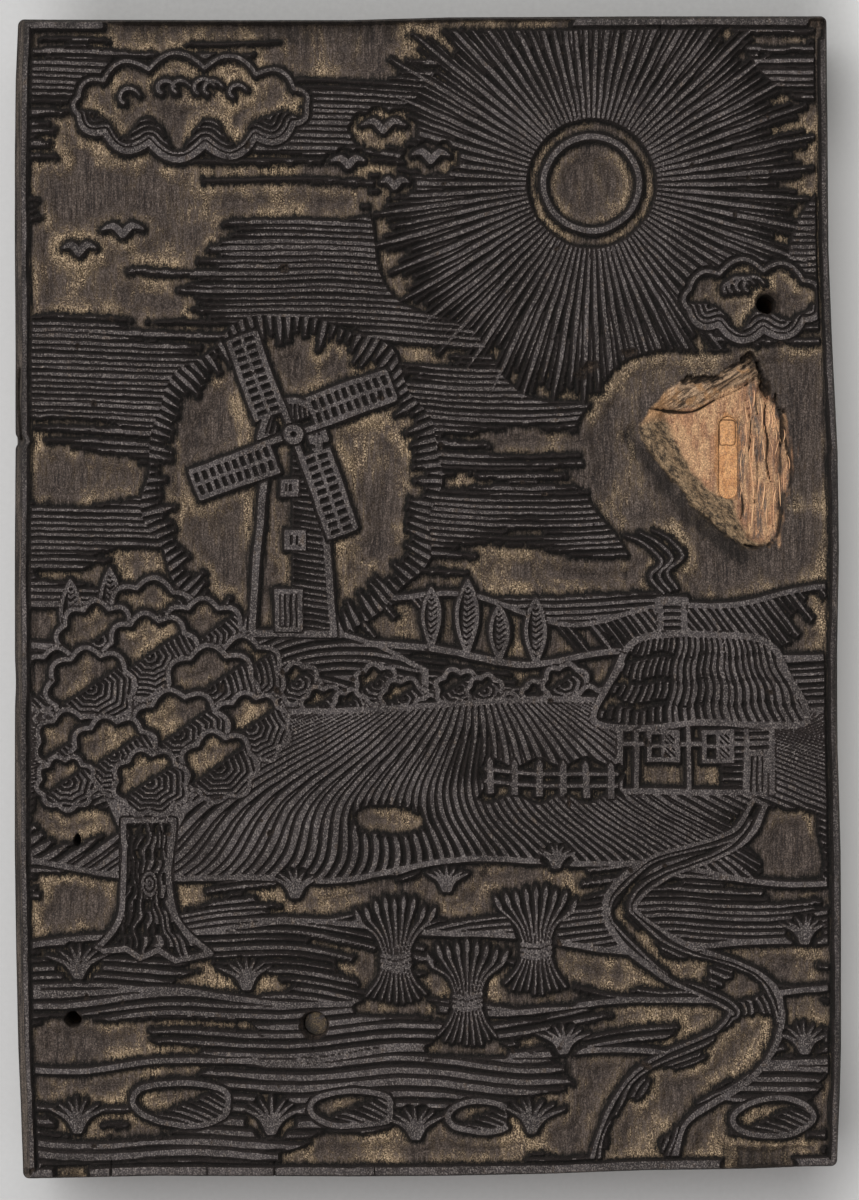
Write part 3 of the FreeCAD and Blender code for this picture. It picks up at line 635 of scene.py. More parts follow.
def drawCottage():
    # thatched cottage: roof strokes, timbered wall, two windows, a door and a chimney
    cx, cy = spot(*cottage["chimney"])
    inside = panel((cx, cy), 1.7, 3.6, 0.4, 0.40)
    standWhere(inside > 0.2, rows(handY, 0.95, 0.42, seed=111))
    stand(np.minimum(0.45 - np.abs(handY - cy - 3.3), 2.3 - np.abs(handX - cx)))
    wall = np.array([spot(*share) for share in cottage["wall"]])
    inside, where, x, y = outlined(wall, 0.5, 0.85)
    right = wall[2][0]
    shade = hatchWide * ramp(x, right - 9, right - 2.5)
    hatch(inside, 0.2, 0.1, y, 0.95, shade, 112, where=where)
    for across in cottage["posts"]:
        stand(np.minimum(0.3 - np.abs(x - spot(across, 0)[0]), inside), where)
    stand(np.minimum(0.3 - np.abs(y - level(cottage["beam"])), inside), where)
    for across in cottage["windows"]:
        wx, wy = spot(across, cottage["windowUp"])
        inside = panel((wx, wy), 2.1, 2.1, 0.3, 0.30)
        standWhere(inside > 0, np.maximum(0.24 - np.abs(handX - wx), 0.24 - np.abs(handY - wy)))
        standWhere((inside > 0.3) & (handX > wx), rows(handX + handY, 0.8, 0.42, seed=113))
    inside = panel(spot(*cottage["door"]), 1.5, 2.9, 0.3, 0.32)
    standWhere(inside > 0.2, rows(handX, 0.75, 0.42, seed=114))
    roof = curvePoints([spot(*share) for share in cottage["roof"]], closed=True)
    inside, where, x, y = outlined(roof, 0.5, 0.9)
    mid, top = spot(*cottage["thatchFrom"])
    u = (x - mid) / (top - y) * 26 + 0.18 * np.sin(y * 1.1)
    course = ((y - roof[:, 1].min()) / cottage["course"] + 0.10 * np.sin(x * 0.9)) % 1
    light = ramp(x - mid + 4.5 * toneOf(u, 0.92, 116), -17, 6)
    width = (hatchWide * (0.35 + 1.0 * light)
             * ramp(np.minimum(course, 1 - course) + 0.25 * light, 0.10, 0.42))
    hatch(inside, 0.3, 0.10, u, 0.92, width, 115, where=where)
    sx, sy = spot(*cottage["smoke"])
    trail = [(sx, sy), (sx - 1.5, sy + 2.4), (sx + 0.4, sy + 4.6), (sx - 1.8, sy + 7.2), (sx - 4.2, sy + 8.4)]
    for k, shift in enumerate((-1.1, -0.2, 0.7)):
        stroke([(px + shift * (1 + 0.3 * i), py + 0.35 * k) for i, (px, py) in enumerate(trail)],
               0.42, ends=(0.6, 0.2), swell=0.45)


fence = dict(ends=((0.575, 0.343), (0.725, 0.338)), posts=6, tall=4.4, rails=(-0.12, 0.26), seed=3)


def drawFence():
    # two rails through a run of posts between two places, on a wavy bare patch
    (ax, ay), (bx, by) = spot(*fence["ends"][0]), spot(*fence["ends"][1])
    tall = fence["tall"]
    draw = randoms(fence["seed"])
    bare = np.minimum(0.62 * tall + 0.6 * np.sin(handX * 0.9) - np.abs(handY - (ay + by) / 2),
                      (bx - ax) / 2 + 1.6 + 0.5 * np.sin(handY * 1.7) - np.abs(handX - (ax + bx) / 2))
    clear(bare, gap=0)
    for t in np.arange(fence["posts"]) / (fence["posts"] - 1):
        px, py = ax + (bx - ax) * t, ay + (by - ay) * t
        lean = draw.uniform(-0.25, 0.25)
        low, high = py - tall / 2, py + tall / 2
        post = [(px - 0.4, low), (px + 0.4, low), (px + 0.35 + lean, high), (px + lean, high + 0.6),
                (px - 0.35 + lean, high)]
        inside, where = cutOut(post, 0.35)[:2]
        stand(inside + 0.05, where)
    for lift in fence["rails"]:
        stroke([(ax - 0.8, ay + tall * lift), ((ax + bx) / 2, (ay + by) / 2 + tall * lift - 0.25),
                (bx + 0.8, by + tall * lift)], 0.42)


oak = dict(
    foot=(0.145, 0.195),
    limbs=[([(-1, 14), (-4.5, 21), (-8, 27)], 2.6), ([(1, 14), (5, 21), (9, 28)], 2.8),
           ([(0, 15), (0.5, 24), (-0.5, 32)], 2.8)],
    left=[(-3.4, 18), (-3.2, 10), (-4.0, 4), (-7.5, -0.6)],
    right=[(9.0, -1.0), (4.6, 3.5), (3.4, 10), (3.8, 18)],
    roots=[(-3, -0.2), (-1, -1.6), (1.5, -0.4), (4, -2.0)], knot=(0.6, 9.0),
    bunches=((0.150, 0.478, 5.6), (0.215, 0.462, 5.4), (0.085, 0.462, 5.2), (0.262, 0.430, 5.2),
             (0.035, 0.425, 4.6), (0.150, 0.448, 5.8), (0.225, 0.420, 5.6), (0.075, 0.420, 5.4),
             (0.275, 0.385, 4.8), (0.052, 0.372, 4.4), (0.185, 0.380, 6.0), (0.105, 0.362, 5.4),
             (0.235, 0.352, 4.6), (0.150, 0.338, 4.6), (0.045, 0.338, 3.6)),  # place, size
)


def drawOak():
    # old oak: flared trunk, forked limbs and heaped bunches of leaves, the lower ones in front
    root = spot(*oak["foot"])
    fx, fy = root
    for places, wide in oak["limbs"]:
        stroke(root + places, wide, ends=(1.3, 0.6))
    left, right = [curvePoints(root + oak[side]) for side in ("left", "right")]
    trunk = np.vstack([left, root + oak["roots"], right])
    inside, where, x, y = outlined(trunk, 0.7, lineWide)
    narrow = (x - fx) / (3.5 + 2.6 * np.exp(-(y - fy) / 4.5))
    width = hatchWide * (0.45 + 0.75 * ramp(narrow, -0.5, 0.6))
    u = narrow * 4.4 + 0.42 * np.sin(y * 0.55 + x) + 0.2 * np.sin(y * 1.7)
    broken = np.sin(y * 0.9 + 3.1 * np.floor(narrow * 4.5)) > -0.72
    standWhere((inside > 0.2) & broken & (narrow > -0.75), shaded(u, 0.98, width, 121, 0.12), where)
    knotX, knotY = root + oak["knot"]
    r = np.hypot((x - knotX) * 1.5, y - knotY)
    clear(1.9 - r, where, gap=0)
    standWhere(r < 1.8, rows(r, 0.75, 0.42, seed=122), where)
    for k, (across, up, size) in enumerate(oak["bunches"]):
        drawLeaves(*spot(across, up), size * 1.05, size * 0.9, 7 + k % 3, 0.25, 130 + k)


road = dict(
    middles=((0.910, 0.322), (0.880, 0.290), (0.780, 0.262), (0.735, 0.225), (0.800, 0.185), (0.900, 0.150),
             (0.880, 0.105), (0.780, 0.060), (0.740, -0.02)),
    half=0.9, widens=5.2,
)


def drawRoad():
    # cart road that winds from the cottage to the foot of the picture and widens on its way
    line = curvePoints([spot(*share) for share in road["middles"]], every=1.0)
    half = road["half"] + road["widens"] * np.linspace(0, 1, len(line)) ** 1.2
    way = np.gradient(line, axis=0)
    way /= np.linalg.norm(way, axis=1)[:, None]
    side = np.c_[-way[:, 1], way[:, 0]] * half[:, None]
    inside, where, x, y = cutOut(np.vstack([line + side, (line - side)[::-1]]), 0.3, margin=4)
    edge = lineWide * (0.28 + 0.30 * smooth(noise(x, y, 6, 6, 141), -0.5, 0.5))
    stand(edge - np.abs(inside), where)
    # short strokes that lie along the road and thin out towards its middle
    u = inside + 0.25 * np.sin(y * 0.8)
    bright = 0.9 * noise(x, y, 5.5, 4, 142) + 0.45 * toneOf(u, 0.95, 143) - 0.30 * inside + 0.35
    width = hatchWide * ramp(bright, 0.0, 0.5)
    hatch(inside, 0.5, 0.1, u, 0.95, width, 144, where=where)


sheaves = [(0.455, 0.185, 161), (0.630, 0.195, 163), (0.545, 0.150, 162)]  # place, seed


def drawSheaf(cx, cy, seed):
    # sheaf of grain: stalks spread above and below a twisted tie, ears at the top
    t = np.linspace(-1, 1, 13)
    wide = 1.9 + 3.4 * np.abs(t) ** 1.6
    rim = np.r_[np.c_[cx - wide, cy + 7.6 * t], np.c_[cx + wide, cy + 7.6 * t][::-1]]
    cutOut(curvePoints(rim, closed=True), 0.7)
    draw = randoms(seed)
    for k in range(9):
        s = k / 4 - 1
        high = 6.6 - 1.5 * s * s + draw.uniform(-0.5, 0.5)
        low = 6.2 - 1.0 * s * s + draw.uniform(-0.3, 0.3)
        wide = 0.36 if s > -0.3 else 0.28
        tip = np.array((cx + 4.9 * s, cy + high))
        stroke([(cx + 1.6 * s, cy + 0.6), (cx + 2.7 * s, cy + 3.2), tip], wide, ends=(0.9, 0.9))
        stroke([(cx + 1.6 * s, cy - 0.6), (cx + 2.6 * s, cy - 3.0), (cx + 4.2 * s, cy - low)], wide,
               ends=(0.9, 0.6))
        lean = np.array((0.45 * s, 1.0))
        stroke([tip, tip + 0.8 * lean, tip + 1.9 * lean], 0.62, ends=(0.5, 0.2), swell=0.6)
    for drop in (-0.75, 0.0, 0.75):
        stroke([(cx - 1.9, cy + drop - 0.15), (cx, cy + drop - 0.45), (cx + 1.9, cy + drop + 0.1)], 0.6)


# place, half sizes, seed
stones = [(0.190, 0.060, 7.0, 3.0, 171), (0.400, 0.055, 6.0, 2.6, 172), (0.560, 0.048, 4.5, 2.2, 173),
          (0.925, 0.048, 5.5, 2.6, 174)]


def drawStone(cx, cy, rx, ry, seed):
    # field stone: rough outline with shading on its lower right
    t = np.linspace(0, 2 * np.pi, 10, endpoint=False)
    r = 1 + randoms(seed).uniform(-0.10, 0.10, 10)
    rim = curvePoints(np.c_[cx + rx * r * np.cos(t), cy + ry * r * np.sin(t)], closed=True)
    inside, where, x, y = outlined(rim, 0.8, lineWide * 0.95)
    shade = hatchWide * 1.1 * ramp((x - cx) / rx - (y - cy) / ry, -0.25, 0.9)
    u = y + 0.25 * x + 0.03 * (x - cx) ** 2
    hatch(inside, 0.3, 0.12, u, 0.92, shade, seed, where=where)


# place, height
tufts = [(0.06, 0.035, 4.5), (0.30, 0.035, 5), (0.48, 0.03, 4.2), (0.625, 0.035, 4.6), (0.06, 0.17, 4.4),
         (0.27, 0.16, 4.0), (0.33, 0.24, 3.6), (0.665, 0.105, 3.8), (0.965, 0.105, 4.0), (0.965, 0.20, 3.6),
         (0.655, 0.265, 3.0), (0.52, 0.245, 3.2)]


def drawTuft(cx, cy, tall, seed):
    # tuft of grass: blades that bend outward from one root
    draw = randoms(seed)
    cutOut(scallops(cx, cy + tall * 0.45, tall * 0.75, tall * 0.62, 8), 0.0)
    for k in range(7):
        s = (k - 3) / 3 + draw.uniform(-0.1, 0.1)
        reach = tall * (1.05 - 0.35 * abs(s))
        stroke([(cx + 0.35 * s, cy), (cx + 0.5 * tall * s * 0.7, cy + reach * 0.6),
                (cx + tall * s * 0.95, cy + reach)], 0.62, ends=(1.1, 0.2), swell=0.2)


def drawEach(draw, table):
    # one of a kind at each place of its table
    for across, up, *others in table:
        draw(*spot(across, up), *others)


# drawing order: far to near
drawSky()
drawSun()
drawEach(drawCloud, clouds)
drawEach(drawBird, birds)
for drawNext in (drawOpenSky, drawHills, drawMill, drawHedge, drawField, drawMeadow, drawCottage, drawFence,
                 drawRoad, drawOak):
    drawNext()
drawEach(drawSheaf, sheaves)
drawEach(drawStone, stones)
drawEach(drawTuft, [(*values, 180 + k) for k, values in enumerate(tufts)])
report("picture")


def faceNoise(scaleX, scaleY, seed):
    # the noise on the face, where its points lie by now
    return noise(faceX, faceY, scaleX, scaleY, seed)


# border ridge: a band at its own distance from each edge, with a groove inside it
border = dict(
    widths=dict(left=0.62, right=0.68, foot=1.10, head=0.85),
    grooves=dict(left=0.75, right=1.05, foot=0.75, head=0.75),
    narrowShoulderShade=1.35,  # painted shade on the narrow sloping shoulders; below it, how dark the ridges inside them are
    ridgeTones=dict(left=0.66, right=0.72, foot=0.3, head=0.72),
    # where the ridge is worn away, and how dirty the wood is there
    gaps=dict(head=[(-46.5, 21.0, 0.72), (54.2, 56.1, 0.72)],
              foot=[(-53.8, -47.9, 1.0), (41.9, 52.6, 0.9)]),
    footSplits=[-45.1, -31.4, -21.9, -7.6],
)
wobble = 0.07 * faceNoise(5, 5, 211) + 0.05 * faceNoise(1.3, 1.3, 212)
fromEdges = dict(left=fromLeft, right=fromRight, foot=fromFoot, head=fromHead)
bands = {side: near - plank["shoulders"][side] + wobble for side, near in fromEdges.items()}
band = np.minimum.reduce(list(bands.values()))


def bySide(values):
    # the value of the side that is closest
    return np.select([bands[side] <= band for side in bands], [values[side] for side in bands])


ridgeWide = bySide(border["widths"])
rim = np.minimum(band, ridgeWide - band)
grimeAndShoulderShade = np.zeros(faceX.shape)
for side, gaps in border["gaps"].items():
    for first, last, dirt in gaps:
        ragged = 0.5 * faceNoise(0.9, 0.9, 213)
        worn = np.minimum(np.minimum(faceX - first, last - faceX) + ragged, 3.0 - bands[side])
        rim = np.minimum(rim, -worn)
        stripes = dirt + 0.28 * faceNoise(0.45, 6, 215)
        grimeAndShoulderShade = np.maximum(grimeAndShoulderShade, stripes * smooth(worn, -0.5, 0.5))
grime = bySide(border["ridgeTones"]) * (band < ridgeWide + 0.2) * (1 + 0.5 * faceNoise(0.4, 7, 216))
grime = grime * (1 - (bands["left"] <= band) * smooth(-faceY, 50, 62))
# the narrow shoulders, all but the left one, are painted dark as shade
grimeAndShoulderShade = np.maximum(grimeAndShoulderShade, np.where((band < 0) & (bands["left"] > band), border["narrowShoulderShade"], grime))
for place in border["footSplits"]:
    crack = 0.10 - np.abs(faceX - place - 0.25 * faceNoise(1.5, 1.5, 214))
    rim = np.minimum(rim, np.where(bands["foot"] < 2.4, -crack, 9))
ridge = np.maximum(np.minimum(ridge, band - ridgeWide - bySide(border["grooves"])), rim)

# wear: chips and the short slips of a knife
wear = dict(
    # middle, half sizes and turn
    chips=[(22.9, 32.8, 1.5, 0.8, 20), (21.7, 31.6, 0.9, 0.5, -10), (28.6, 34.9, 1.2, 0.6, 5),
           (-20.5, 47.0, 0.8, 0.5, 30), (55.9, 82.0, 1.6, 0.9, 0), (-57.0, -81.6, 0.9, 0.5, 10),
           (8.0, -39.0, 0.8, 0.5, 60), (31.0, -66.5, 0.9, 0.4, -30)],
    across=(-55, 55), along=(-80, 80),
    nicks=80, nickSize=(0.12, 0.36),
    ticks=60, tickLength=(0.8, 2.6), tickWidth=0.16,
    seed=31,
)


def windowRound(cx, cy, rx, ry, margin):
    # window that holds a box of these half sizes, and the distances there from its middle
    where = window((cx - rx, cy - ry), (cx + rx, cy + ry), margin)
    return where, faceX[where] - cx, faceY[where] - cy


def turnedRound(cx, cy, reach, margin, turn):
    # the same for a square, with the distances along and across a turned direction
    where, dx, dy = windowRound(cx, cy, reach, reach, margin)
    return where, dx * np.cos(turn) + dy * np.sin(turn), dy * np.cos(turn) - dx * np.sin(turn)


chipped = np.zeros(faceX.shape)
draw = randoms(wear["seed"])
spots = list(wear["chips"])
for k in range(wear["nicks"]):
    size = draw.uniform(*wear["nickSize"])
    place = draw.uniform(*wear["across"]), draw.uniform(*wear["along"])
    spots.append((*place, size * draw.uniform(1, 2), size, draw.uniform(0, 180)))
for cx, cy, rx, ry, turn in spots:
    where, along, off = turnedRound(cx, cy, rx, 0.6, np.radians(turn))
    away = np.hypot(along / rx, off / ry)
    away = away + 0.28 * noise(faceX[where], faceY[where], 0.35, 0.5, 221)
    blob = (1 - away) * ry
    ridge[where] = np.minimum(ridge[where], -blob)
    chipped[where] = np.maximum(chipped[where], smooth(blob, -0.12, 0.1))
for k in range(wear["ticks"]):
    cx, cy, turn = draw.uniform(*wear["across"]), draw.uniform(*wear["along"]), draw.uniform(0, np.pi)
    reach = draw.uniform(*wear["tickLength"]) / 2
    where, along, off = turnedRound(cx, cy, reach, 0.4, turn)
    slit = wear["tickWidth"] / 2 * (1 - (along / reach) ** 2) - np.abs(off)
    ridge[where] = np.minimum(ridge[where], np.where(np.abs(along) < reach, -slit, 9))
report("border and wear")

# from the field to heights: the knife's cut beside a ridge, a small rise, then the gouged middle
knife = dict(
    wall=1.25,  # depth of the knife's cut beside a ridge, and how steep it is
    wallReach=0.46,
    rise=0.18,  # the floor rises a little beyond the knife's cut
    floor=0.95,  # and goes deeper in the middle of wide clearings
    reach=3.4,
)
# fine forms, in millimetres: on the floors, and on what stands
floorForm = dict(fibre=0.045, gouge=0.14, gougeWide=1.9, grit=0.06, torn=0.25, lift=0.04)
topForm = dict(low=0.06, swell=0.03, fibre=0.010, pits=0.02, dents=0.05)


def spreadOutside(field, steps):
    # distance to the standing wood: known close to it, then passed on from neighbour to neighbour
    far = np.where(field >= 0, 0, np.where(field > -1.2 * cell, -field, 1e3))
    for _ in range(steps):
        wide = np.pad(far, 1, constant_values=1e3)
        for down in range(3):
            for right in range(3):
                step = cell * math.hypot(down - 1, right - 1)
                if step > 0:
                    moved = wide[down:down + far.shape[0], right:right + far.shape[1]]
                    far = np.minimum(far, moved + step)
    return far


def blur(values, cells):
    # mean over a square: two runs of sums
    size = 2 * cells + 1
    for axis in (0, 1):
        edges = [(cells + 1, cells) if axis == k else (0, 0) for k in (0, 1)]
        total = np.cumsum(np.pad(values, edges, mode="edge"), axis=axis)
        high = np.take(total, np.arange(size, total.shape[axis]), axis=axis)
        low = np.take(total, np.arange(0, total.shape[axis] - size), axis=axis)
        values = (high - low) / size
    return values


# points close to the edge of a ridge are moved onto it, so that the edge runs clean between grid lines
slopeY, slopeX = np.gradient(ridge, nominalY, nominalX)
steep = slopeX ** 2 + slopeY ** 2
moveX = -ridge * slopeX / np.maximum(steep, 1e-6)
moveY = -ridge * slopeY / np.maximum(steep, 1e-6)
near = (np.hypot(moveX, moveY) < snapReach) & (steep > 0.2)
near[:2], near[-2:], near[:, :2], near[:, -2:] = False, False, False, False
faceX = np.where(near, faceX + moveX, faceX)
faceY = np.where(near, faceY + moveY, faceY)
ridge = np.where(near, 0, ridge)

far = np.minimum(spreadOutside(ridge, int(knife["reach"] / cell) + 1), knife["reach"])
depth = (knife["wall"] * (1 - np.exp(-(far / knife["wallReach"]) ** 1.1))
         - knife["rise"] * smooth(far, 0.6, 1.3) + knife["floor"] * smooth(far, 1.3, knife["reach"]))
opened = smooth(far, 0.45, 1.1)
fibre = faceNoise(0.24, 5.0, 231) + 0.7 * faceNoise(0.55, 12, 232)
gougeLine = (faceX + 2.5 * faceNoise(14, 14, 233)) / floorForm["gougeWide"]
gouge = 1 - 4 * (gougeLine - np.floor(gougeLine) - 0.5) ** 2
gouge = gouge * smooth(faceNoise(6, 11, 234), -0.4, 0.3)
plucked = np.clip(faceNoise(0.32, 2.2, 238) - 0.35, 0, 1)
plucked = plucked * smooth(faceNoise(5, 9, 239), -0.2, 0.5)
depth = depth + opened * (floorForm["fibre"] * fibre + floorForm["gouge"] * gouge
                          + floorForm["grit"] * faceNoise(0.6, 1.1, 235)
                          - floorForm["lift"] + floorForm["torn"] * plucked)
top = plank["top"] - topForm["low"] - topForm["swell"] * faceNoise(12, 20, 236)
top = (top - topForm["fibre"] * fibre - topForm["pits"] * np.abs(faceNoise(0.35, 0.5, 240))
       - topForm["dents"] * smooth(faceNoise(2.5, 3.5, 241), 0.45, 0.8))
height = np.where(ridge > 0, top, top - 0.02 - np.maximum(depth, 0))

# shoulder: the sloping band outside the border
shoulder = np.minimum.reduce([near / plank["shoulders"][side] for side, near in fromEdges.items()])
shoulder = np.clip(1 - shoulder, 0, 1)
slopeTop = (plank["top"] - topForm["low"] - plank["shoulderDrop"] * shoulder ** 0.9
            + 0.05 * faceNoise(0.4, 6, 237))
height = np.where(shoulder > 0, slopeTop, height)
report("heights")


def nearPath(path, x, y):
    # distance to the nearest span of a path, and how far along it that is as a share
    best = np.full(x.shape, 1e9)
    share = np.zeros(x.shape)
    count = len(path) - 1
    for k, ((ax, ay), (bx, by)) in enumerate(zip(path[:-1], path[1:])):
        t = np.clip(((x - ax) * (bx - ax) + (y - ay) * (by - ay)) / ((bx - ax) ** 2 + (by - ay) ** 2), 0, 1)
        gapTo = np.hypot(x - ax - t * (bx - ax), y - ay - t * (by - ay))
        share = np.where(gapTo < best, (k + t) / count, share)
        best = np.minimum(best, gapTo)
    return best, share


# the broken-out hollow: a rim, a floor, and slopes that climb from one to the other
hollow = dict(
    rim=[(30.7, 25.8), (33.6, 29.2), (37.0, 31.5), (41.5, 32.0), (44.4, 33.6), (45.9, 35.4), (47.3, 32.9),
         (49.3, 29.2), (51.7, 24.8), (52.6, 18.4), (51.7, 13.5), (49.6, 7.1), (44.9, 6.8), (38.4, 12.1),
         (32.1, 19.9), (30.1, 23.4)],
    floor=[(34.7, 26.1), (37.7, 26.6), (41.0, 28.1), (45.9, 30.8), (47.3, 30.1), (50.4, 27.2), (52.1, 18.1),
           (51.0, 13.2), (49.6, 8.1), (46.1, 9.2), (44.1, 14.4), (41.0, 15.5), (38.4, 18.4), (36.1, 22.4)],
    level=19.72,
    slopeTop=1.55,  # how far below the face its slopes end
    # greyed hollows between the fibres: path, width
    greyed=[([(44.6, 24.8), (44.9, 20.0), (44.8, 15.0), (45.4, 12.0)], 0.62),
            ([(46.3, 30.5), (46.6, 27.5), (47.2, 24.0), (47.6, 20.0)], 0.50),
            ([(48.0, 15.5), (47.6, 12.0), (47.3, 9.0)], 0.55),
            ([(50.2, 27.0), (50.5, 22.0), (50.5, 17.0), (50.2, 13.0)], 0.35)],
    # splits along the fibres: path, width, depth
    fibres=[([(30.4, 27.2), (33.0, 26.9), (36.5, 26.6), (38.5, 26.9), (41.0, 28.3)], 0.16, 0.9),
            ([(41.0, 28.3), (44.0, 29.6), (46.6, 31.2)], 0.10, 0.4),
            ([(48.6, 28.8), (48.2, 25.5), (48.7, 22.5), (48.5, 19.5), (49.1, 16.6)], 0.13, 0.8),
            ([(50.3, 27.2), (50.8, 24.0), (50.4, 21.5)], 0.10, 0.6),
            ([(47.4, 30.6), (47.0, 27.9), (47.3, 26.2)], 0.10, 0.6),
            ([(51.5, 24.8), (51.3, 22.0), (51.8, 19.2)], 0.08, 0.4),
            ([(46.9, 21.6), (47.3, 17.8), (46.9, 13.6)], 0.12, 0.5),
            ([(45.9, 27.2), (46.3, 24.0), (46.0, 20.8)], 0.11, 0.6),
            ([(44.7, 16.8), (45.2, 13.0), (44.8, 11.2)], 0.12, 0.5),
            ([(47.0, 34.0), (47.9, 32.2), (48.1, 30.6), (48.8, 29.7), (50.0, 28.8), (50.9, 26.6)], 0.42, 1.5),
            ([(45.3, 7.6), (47.4, 7.2), (49.7, 7.9)], 0.30, 1.2)],
)
rimIn, here = insideOf(hollow["rim"], 5, None, faceX, faceY)
floorIn, here = insideOf(hollow["floor"], 5, here, faceX, faceY)
x, y = faceX[here], faceY[here]
rimIn = rimIn + 0.30 * noise(x, y, 0.9, 1.4, 301) + 0.15 * noise(x, y, 0.3, 0.5, 302)
rightSide = smooth(x, 46.5, 50.5)
rimIn = rimIn + rightSide * 0.9 * noise(x, y, 0.45, 4.0, 313)
floorIn = floorIn + 0.35 * noise(x, y, 1.1, 2.2, 303) + 0.12 * noise(x, y, 0.3, 0.9, 304)
away = np.clip(-floorIn, 0, None)
inRim = np.clip(rimIn, 0, None)
climb = away / (away + inRim + 0.05)
torn = noise(x, y, 0.26, 4.5, 305) + 0.6 * noise(x, y, 0.5, 9, 306) + 0.35 * noise(x, y, 0.16, 1.2, 307)
rough = smooth(x, 44.2, 46.0)
ledges = np.floor(2.5 * noise(x, y, 0.75, 8, 308) + 0.5) / 2.5
bed = hollow["level"] + 0.05 * torn + rough * (0.12 * torn + 0.26 * ledges) + 0.10 * noise(x, y, 3, 3, 309)
bed = bed + 0.10 * smooth(noise(x, y, 0.5, 0.6, 314), 0.2, 0.8) * (1 - rough)
# the slope climbs towards the face, and stops short of it in a soft valley or under a lip, whose undercut is
# painted dark as shade
facet = smooth(y - 0.22 * x, 17.6, 19.2)
rise = (plank["top"] - hollow["slopeTop"] - bed) * smooth(climb, 0, 0.95)
slant = noise(0.82 * x + 0.57 * y, 0.82 * y - 0.57 * x, 3.2, 0.5, 315)
slant = slant + 0.5 * noise(0.82 * x + 0.57 * y, 0.82 * y - 0.57 * x, 1.0, 0.25, 310)
ripple = noise(0.64 * x - 0.77 * y, 0.77 * x + 0.64 * y, 1.6, 0.5, 320)
waves = 0.15 * slant * facet + 0.07 * ripple * (1 - facet)
bed = bed + rise + smooth(away, 0.1, 0.7) * waves * (1 - rightSide)
lipShare = facet * smooth(x, 35.0, 37.0) * (0.6 + 0.4 * smooth(noise(x, y, 2.4, 2.4, 322), -0.3, 0.2))
bed = bed - lipShare * 1.6 * (1 - smooth(rimIn + 0.25 * slant, 0.5, 1.4))
lowSlope = (1 - facet) * (1 - rightSide)
bed = bed - lowSlope * 0.5 * bell(rimIn - 0.1, 0.5)
greyed = np.zeros(x.shape)
for path, wide in hollow["greyed"]:
    gapTo, share = nearPath(curvePoints(path), x + 0.25 * noise(x, y, 0.5, 2.5, 323), y)
    greyed = np.maximum(greyed, bell(gapTo, wide * (1 + 0.4 * noise(x, y, 0.6, 2.0, 324))))
bed = bed - 0.28 * greyed
for path, wide, deep in hollow["fibres"]:
    gapTo, share = nearPath(curvePoints(path), x, y)
    wide = wide * (0.45 + 0.75 * np.sin(np.pi * share)) * (1 + 0.5 * noise(x, y, 0.5, 1.2, 312))
    bed = bed - deep * bell(gapTo, wide)
bed = np.clip(bed, plank["tileFloor"] + 1.2, height[here] + 0.25)
height[here] = np.where(rimIn > 0, bed, height[here])
valley = lowSlope * smooth(-x - y, -60, -50) * bell(rimIn + 0.95, 1.55)
valley = valley * (0.92 + 0.35 * noise(x, y, 1.2, 2.0, 316))
height[here] = height[here] - 0.75 * valley
# darkening for the materials: the border's grime and shoulder shade, the valley beside the lower-left rim,
# and painted shade under the lip
grimeAndPaintedShade = grimeAndShoulderShade * (0.7 + 0.3 * faceNoise(0.5, 3.0, 317))
grimeAndPaintedShade[here] += np.clip(valley + 0.35 * lipShare * (1 - smooth(np.abs(rimIn), 0.4, 1.6)), 0, 1)
raw, olive, facetShare, streaked, dusty = [np.zeros(faceX.shape) for _ in range(5)]
raw[here] = smooth(rimIn + rightSide * 0.5 * noise(x, y, 0.3, 2.2, 318),
                   -0.2 + 0.1 * rightSide, 0.4 + 0.6 * rightSide)
olive[here] = smooth(away, 0.1, 0.9) * (1 - facet) * (1 - rightSide)
facetShare[here] = smooth(away, 0.1, 0.9) * facet
streaked[here] = np.clip(rough * 0.5 * smooth(torn, -0.2, 0.8) + greyed
                         + 0.7 * rightSide * (1 - smooth(rimIn, 0.2, 1.4)), 0, 1)

# bore dust rubbed into the floor round the filled gallery
slotX, slotY = (fillLow[0] + fillHigh[0]) / 2, (fillLow[1] + fillHigh[1]) / 2
slotHalf = (fillHigh[0] - fillLow[0]) / 2 + 0.03
slotReach = (fillHigh[1] - fillLow[1]) / 2 + 0.03 - slotHalf
fromSlot = np.hypot(x - slotX, np.clip(np.abs(y - slotY) - slotReach, 0, None)) - slotHalf
dusty[here] = 1 - smooth(fromSlot + 0.45 * noise(x, y, 0.45, 1.6, 319), 0.0, 0.75)

# cracks: thin valleys along a path, painted dark as shade, in millimetres: path, width, depth
cracks = [
    ([(-58.2, 32.6), (-58.35, 28.5), (-58.1, 25.0), (-57.9, 22.6)], 0.16, 1.2),
    ([(-50.7, -35.4), (-51.6, -35.6), (-52.6, -35.9)], 0.07, 0.5),
    ([(-16.2, -62.5), (-16.4, -63.4), (-16.3, -64.4)], 0.07, 0.5),
    ([(-45.1, -79.5), (-45.0, -81.2), (-45.2, -83.0)], 0.06, 0.6),
    ([(-21.9, -80.4), (-21.7, -81.5), (-22.0, -83.0)], 0.06, 0.6),
    ([(33.2, 83.0), (33.1, 80.5), (33.3, 78.4)], 0.06, 0.5),
]
for path, wide, deep in cracks:
    where = window(np.min(path, 0), np.max(path, 0), 0.8)
    gapTo, share = nearPath(curvePoints(path), faceX[where], faceY[where])
    split = bell(gapTo, wide)
    height[where] = height[where] - deep * split
    grimeAndPaintedShade[where] = np.maximum(grimeAndPaintedShade[where], split)

height = np.minimum(height, plank["top"] - 0.005)

